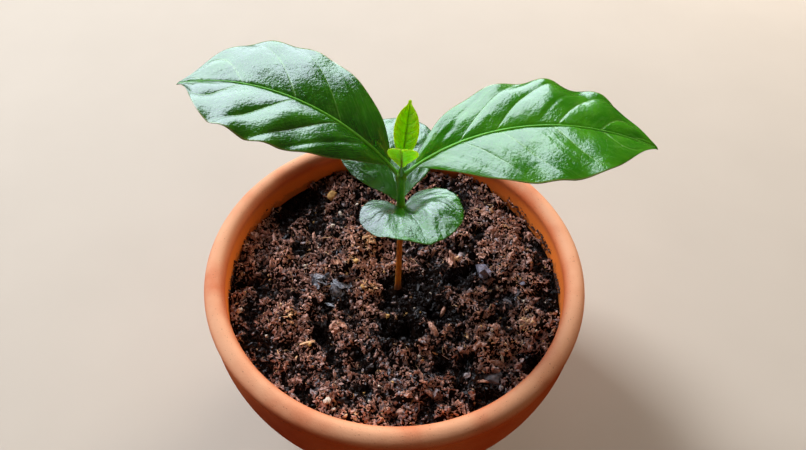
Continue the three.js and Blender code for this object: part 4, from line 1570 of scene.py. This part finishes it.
# %% Add the young leaves
YOUNG_SHAPE = {
    "rise": 75, "curl": (0.1, 0.1), "vein_slant": 0.15, "stalk_radius": 0.65, "thickness": 0.3,
    "ripple": 0.2,
}
YOUNG_BACK = Leaf(
    length=25, petiole=0.18, heading=76, turn=5, droop=-17.5, lift=0, roll=0, twist=0,
    half=(4.2, 4.6), swell=0.85, taper=0.85, point=0.6, fold=(15, 15), quilt=(0.4, 0.4),
    veins=((0.3, 0.42, 0.54, 0.66, 0.78), (0.3, 0.42, 0.54, 0.66, 0.78)),
    start=(0, 0.8, 2), blunt=0.6, **YOUNG_SHAPE,
)
YOUNG_FRONT = Leaf(
    length=24.5, petiole=0.2, heading=-91, turn=-9, droop=-25, lift=4, roll=-2, twist=1,
    half=(5.5, 4.8), swell=0.95, taper=0.77, point=0.47, fold=(14, 15.5), quilt=(0.25, 0.25),
    veins=((0.4, 0.55, 0.7, 0.84), (0.4, 0.55, 0.7, 0.84)),
    start=(0, -0.8, 2), blunt=0.4, **YOUNG_SHAPE,
)
LIME_GREENS = (colour(128, 152, 0), colour(156, 180, 4))
LIT_GREENS = (colour(150, 184, 0), colour(176, 212, 6))
YOUNG = {
    "vein_tint": colour(92, 146, 0), "rim": colour(190, 214, 96),
    "gloss": 0.4, "glow": 0.8, "index": 1.4, "coat": 0.0, "relief": 0.3,
}
young_rib = rib_finish("young_rib", colour(92, 172, 20), colour(58, 132, 10))
back_rib = rib_finish("back_rib", colour(140, 196, 40), colour(108, 168, 24))
for name, leaf, greens, rib in (
    ("young_leaf_back", YOUNG_BACK, LIME_GREENS, back_rib),
    ("young_leaf_front", YOUNG_FRONT, LIT_GREENS, young_rib),
):
    skin = leaf_finish(name, leaf, greens, **YOUNG)
    leaf_piece(name, leaf, "young_leaf", [skin, skin, rib], rows=90, columns=50)

# %% [markdown]
# Between the young leaves, at the end of the stem, sits the next bud, smaller than a grain of
# rice. It is turned like the pot, pressed flat between the leaves, and has a seam where its
# own two scales meet.

# %% Add the bud
BUD_OUTLINE = (  # radii, with heights
    (0, 0),
    (0.8, 0),
    (1.05, 0.8),
    (0.95, 1.8),
    (0.6, 2.9),
    (0.25, 3.7),
    (0, 4),
)
BUD_FLATNESS = 0.7
BUD_SEAT = 1.2  # its foot above the leaves' node


def bud_piece():
    outline = np.array(BUD_OUTLINE, float)
    steps = np.linspace(0, len(outline) - 1, 40)
    corners = range(len(outline))
    profile = np.column_stack([np.interp(steps, corners, column) for column in outline.T])
    points, faces = turned(profile, 32)
    x, y, z = points.T
    seam = 1 - 0.12 * np.exp(-((x / 0.25) ** 2))
    points = np.column_stack([x, y * BUD_FLATNESS * seam, z]) + UPPER_NODE + [0, 0, BUD_SEAT]
    settle(mesh_piece("bud", points, faces, [young_rib]), "young_leaf", "stem")


bud_piece()

# %% [markdown]
# The seed leaves, or cotyledons, are round plates that split and folded out of the bean. Each
# is a disc in polar steps, drawn in to its stalk, folded along the middle and lowered at its
# edge. A seed leaf takes its directions from the same function as a leaf, so its dataclass has
# the same turning angles, most of them 0.

# %% Describe a cotyledon
@dataclass
class Cotyledon:
    """Sizes in millimetres and angles in degrees; pairs are for the left and right half."""

    petiole: float
    heading: float
    rise: float
    roll: float
    reach: float  # half length
    spread: float  # half width
    notch: float  # how far the edge is drawn in to the stalk
    notch_width: float
    skew: float  # moves the widest place towards the tip
    point: float  # how far the tip is drawn out
    fold: tuple  # how far each half is folded up
    drop: tuple  # how far each half sinks towards its edge
    sag: float  # how far the tip sinks
    wind: float  # how far the plate is wound, one side up and the other down
    turn: float = 0
    droop: float = 0
    lift: float = 0
    twist: float = 0
    stalk_radius: float = 0.8
    thickness: float = 0.42
    pillow: float = 1.4  # how far the middle swells above the edge
    swellings: tuple = ()  # each a place along and across, a rise and a spread
    bend: tuple = (0, 99, 0)  # a direction from the tip, where it starts, how much it bends down


COTYLEDON_FRONT = Cotyledon(
    petiole=1.1, heading=-69, rise=24, roll=-7, reach=17.4, spread=17.8, notch=6.6,
    notch_width=5.2, skew=0, point=0.2, fold=(24.5, 25.5), drop=(0.03, 0.36), sag=0.02,
    wind=0.08, swellings=((12, 5.5, 1.6, 6), (11, -9, 0.8, 5), (20, -3, 0.6, 4)),
    bend=(58, 9.5, 0.028),
)
COTYLEDON_BACK = Cotyledon(
    petiole=2.1, heading=102.5, rise=17, roll=-2, reach=17.1, spread=18.2, notch=-3.2,
    notch_width=4.6, skew=0.08, point=0.6, fold=(19, 19), drop=(0.15, 0.15), sag=0.07,
    wind=0.03, pillow=2.0,
)
print("seed leaves:", 2 * COTYLEDON_FRONT.reach, "and", 2 * COTYLEDON_BACK.reach, "mm long")

# %% [markdown]
# The plate is worked out in its own plane first, with x from the stalk to the tip and y to the
# left. Its height over that plane adds up the fold, the drop of the edge, a soft pillow in the
# middle, and wrinkles that fan out from the stalk and grow towards the edge.

# %% Shape the plate
def plate_edge(leaf, angle):
    """The outline about the plate's middle, at an angle from the tip."""
    y = leaf.spread * np.sin(angle) * (1 + leaf.skew * np.cos(angle))
    drawn_in = leaf.notch * np.exp(-((y / leaf.notch_width) ** 2))
    drawn_out = leaf.point * np.exp(-((y / 2.5) ** 2))
    x = leaf.reach * np.cos(angle) + drawn_in * np.maximum(-np.cos(angle), 0)
    return x + drawn_out * np.maximum(np.cos(angle), 0), y


def plate_height(leaf, angle, radius, x, y, ray, out):
    """How far the upper face stands above the plate's plane."""
    fold = np.radians(by_side(y, leaf.fold))
    height = np.tan(fold) * (np.sqrt(y * y + 1) - 1) - by_side(y, leaf.drop) * y * y / leaf.spread
    height = height - leaf.sag * x * x / leaf.reach + leaf.wind * x * y / leaf.spread
    swell = leaf.pillow * (0.5 + 0.5 * np.cos(angle)) + heaped(x, y, leaf.swellings)
    height = height + swell * (1 - radius ** 3)
    towards, start, strength = leaf.bend
    beyond = x * np.cos(np.radians(towards)) + y * np.sin(np.radians(towards)) - start
    height = height - strength * np.maximum(beyond, 0) ** 2
    wrinkle = 0.35 * bumps(ray * 8, out * 3, 1, 61) + 0.2 * bumps(ray * 20, out * 6, 1, 62)
    middle = -0.3 * np.exp(-((ray / 0.05) ** 2)) * np.clip(1.6 - out, 0, 1)
    return height + wrinkle * np.clip(out, 0, 1) ** 1.5 + 0.3 * bumps(x, y, 5, 63) + middle


def plate_points(leaf, angle, radius):
    """Points of the upper face, the direction up out of it, and each point's ray and distance."""
    forward, left, normal = leaf_axes(leaf, np.zeros(1))
    edge_x, edge_y = plate_edge(leaf, angle)
    x, y = leaf.reach - leaf.notch + edge_x * radius, edge_y * radius
    ray, out = np.arctan2(y, x + 4), np.hypot(x, y) / leaf.reach
    height = plate_height(leaf, angle, radius, x, y, ray, out)[..., None]
    points = forward * (leaf.petiole + x)[..., None] + left * y[..., None] + normal * height
    return points, normal, np.stack([ray, out], -1)


tips, _, _ = plate_points(COTYLEDON_FRONT, np.zeros((1, 1)), np.ones((1, 1)))
print("the front one's tip, from its node:", tips.round(1), "mm")

# %% [markdown]
# The rings of points make the upper and the lower face, each closed by a fan of triangles in
# the middle, and a band round the edge sews them together. The short stalk is a tube like a
# midrib's, which ends under the plate.

# %% Sew a cotyledon
def stalk_tube(leaf, steps=24):
    """The short stalk, which runs on a little way under the plate."""
    forward, left, up = (axis[0] for axis in leaf_axes(leaf, np.zeros(1)))
    share = np.linspace(0, 1, steps)
    reach = share * (leaf.petiole + 5)
    line = forward * reach[:, None] - up * (leaf.stalk_radius * 0.75 + 0.2)
    radii = leaf.stalk_radius * (1 - 0.6 * share ** 2)
    return tube(line, np.tile(left, (steps, 1)), np.tile(up, (steps, 1)), radii)


def cotyledon_piece(name, leaf, materials, rings=50, sides=200):
    """A fine plate on its short stalk, for the solid of that name."""
    steps = 2 * np.pi * np.arange(sides) / sides
    radius, angle = np.meshgrid(np.linspace(0, 1, rings + 1)[1:], steps, indexing="ij")
    upper, normal, rays = plate_points(leaf, angle, radius)
    middle, _, middle_ray = plate_points(leaf, np.zeros((1, 1)), np.zeros((1, 1)))
    middle = middle.reshape(1, 3)
    thin = leaf.thickness * (1 - 0.5 * radius ** 4)[..., None]
    top = np.vstack([upper.reshape(-1, 3), middle])
    below = np.vstack([(upper - normal * thin).reshape(-1, 3), middle - normal * leaf.thickness])
    here, beside = ring_numbers(rings, sides)
    faces = quads(here[:-1], here[1:], beside[1:], beside[:-1])
    hub = fan(here.size, here[0], beside[0])
    sewn = quads(here[-1], here[-1] + len(top), beside[-1] + len(top), beside[-1])
    groups = [faces, faces[:, ::-1] + len(top), sewn, hub, hub[:, ::-1] + len(top)]
    kinds = [TOP, UNDER, UNDER, TOP, UNDER]
    points = np.vstack([top, below])
    uvs = np.vstack([rays.reshape(-1, 2), middle_ray.reshape(1, 2)])
    piece = joined(name, LOWER_NODE, points, groups, kinds, uvs, stalk_tube(leaf), materials)
    settle(piece, "cotyledon", name)


print("a seed leaf's stalk:", len(stalk_tube(COTYLEDON_FRONT)[0]), "points")

# %% [markdown]
# The veins of a seed leaf fan out from its stalk, so the fine wrinkles in its finish run that
# way too: the noise is stretched along the plate's own rays, which its UV coordinates hold.
# The wrinkles grow towards the edge. They roughen the shine and thin the coat where they
# stand up, which gives the leathery sheen of the real ones.

# %% Make the seed leaves
def cotyledon_finish():
    finish = Finish("cotyledon")
    place = place_on(finish)
    rays = finish.node("ShaderNodeUVMap", {"uv_map": "blade"})["UV"]
    _, out, _ = parts_of(rays)
    streaks = noise(stretched(rays, (1, 0.25, 1)), 60, detail=4, roughness=0.6)
    grain = noise(place, 1.3, detail=3, roughness=0.6)
    cloud = noise(place, 6, detail=3)
    green = mixed(step(cloud, 0.3, 0.7), colour(32, 108, 4), colour(54, 136, 16))
    green = mixed(step(streaks, 0.5, 0.75) * 0.2, green, colour(90, 156, 80))
    green = mixed(step(out, 0.25, 0.0) * 0.7, green, colour(84, 150, 40))
    crinkle = 0.6 + step(out, 0.5, 1.2)
    height = (streaks * 1.2 + grain * 0.9) * crinkle
    wrinkles = step(streaks * 0.6 + grain * 0.4, 0.35, 0.65)
    rough = 0.15 + 0.12 * wrinkles
    waxy = 0.3 - 0.12 * wrinkles
    return surface(
        finish, height, 0.22, Base_Color=green, Roughness=rough, IOR=2.5, Coat_Weight=waxy,
        Coat_Roughness=0.16, Subsurface_Weight=0.1, Subsurface_Radius=(0.0008, 0.002, 0.0003),
        Subsurface_Scale=1.0,
    )


cotyledon_finishes = [
    cotyledon_finish(),
    rib_finish("cotyledon_under", colour(136, 180, 96), colour(104, 156, 66)),
    rib_finish("cotyledon_stalk", colour(96, 160, 44), colour(60, 120, 26)),
]
cotyledon_piece("cotyledon_front", COTYLEDON_FRONT, cotyledon_finishes)
cotyledon_piece("cotyledon_back", COTYLEDON_BACK, cotyledon_finishes)
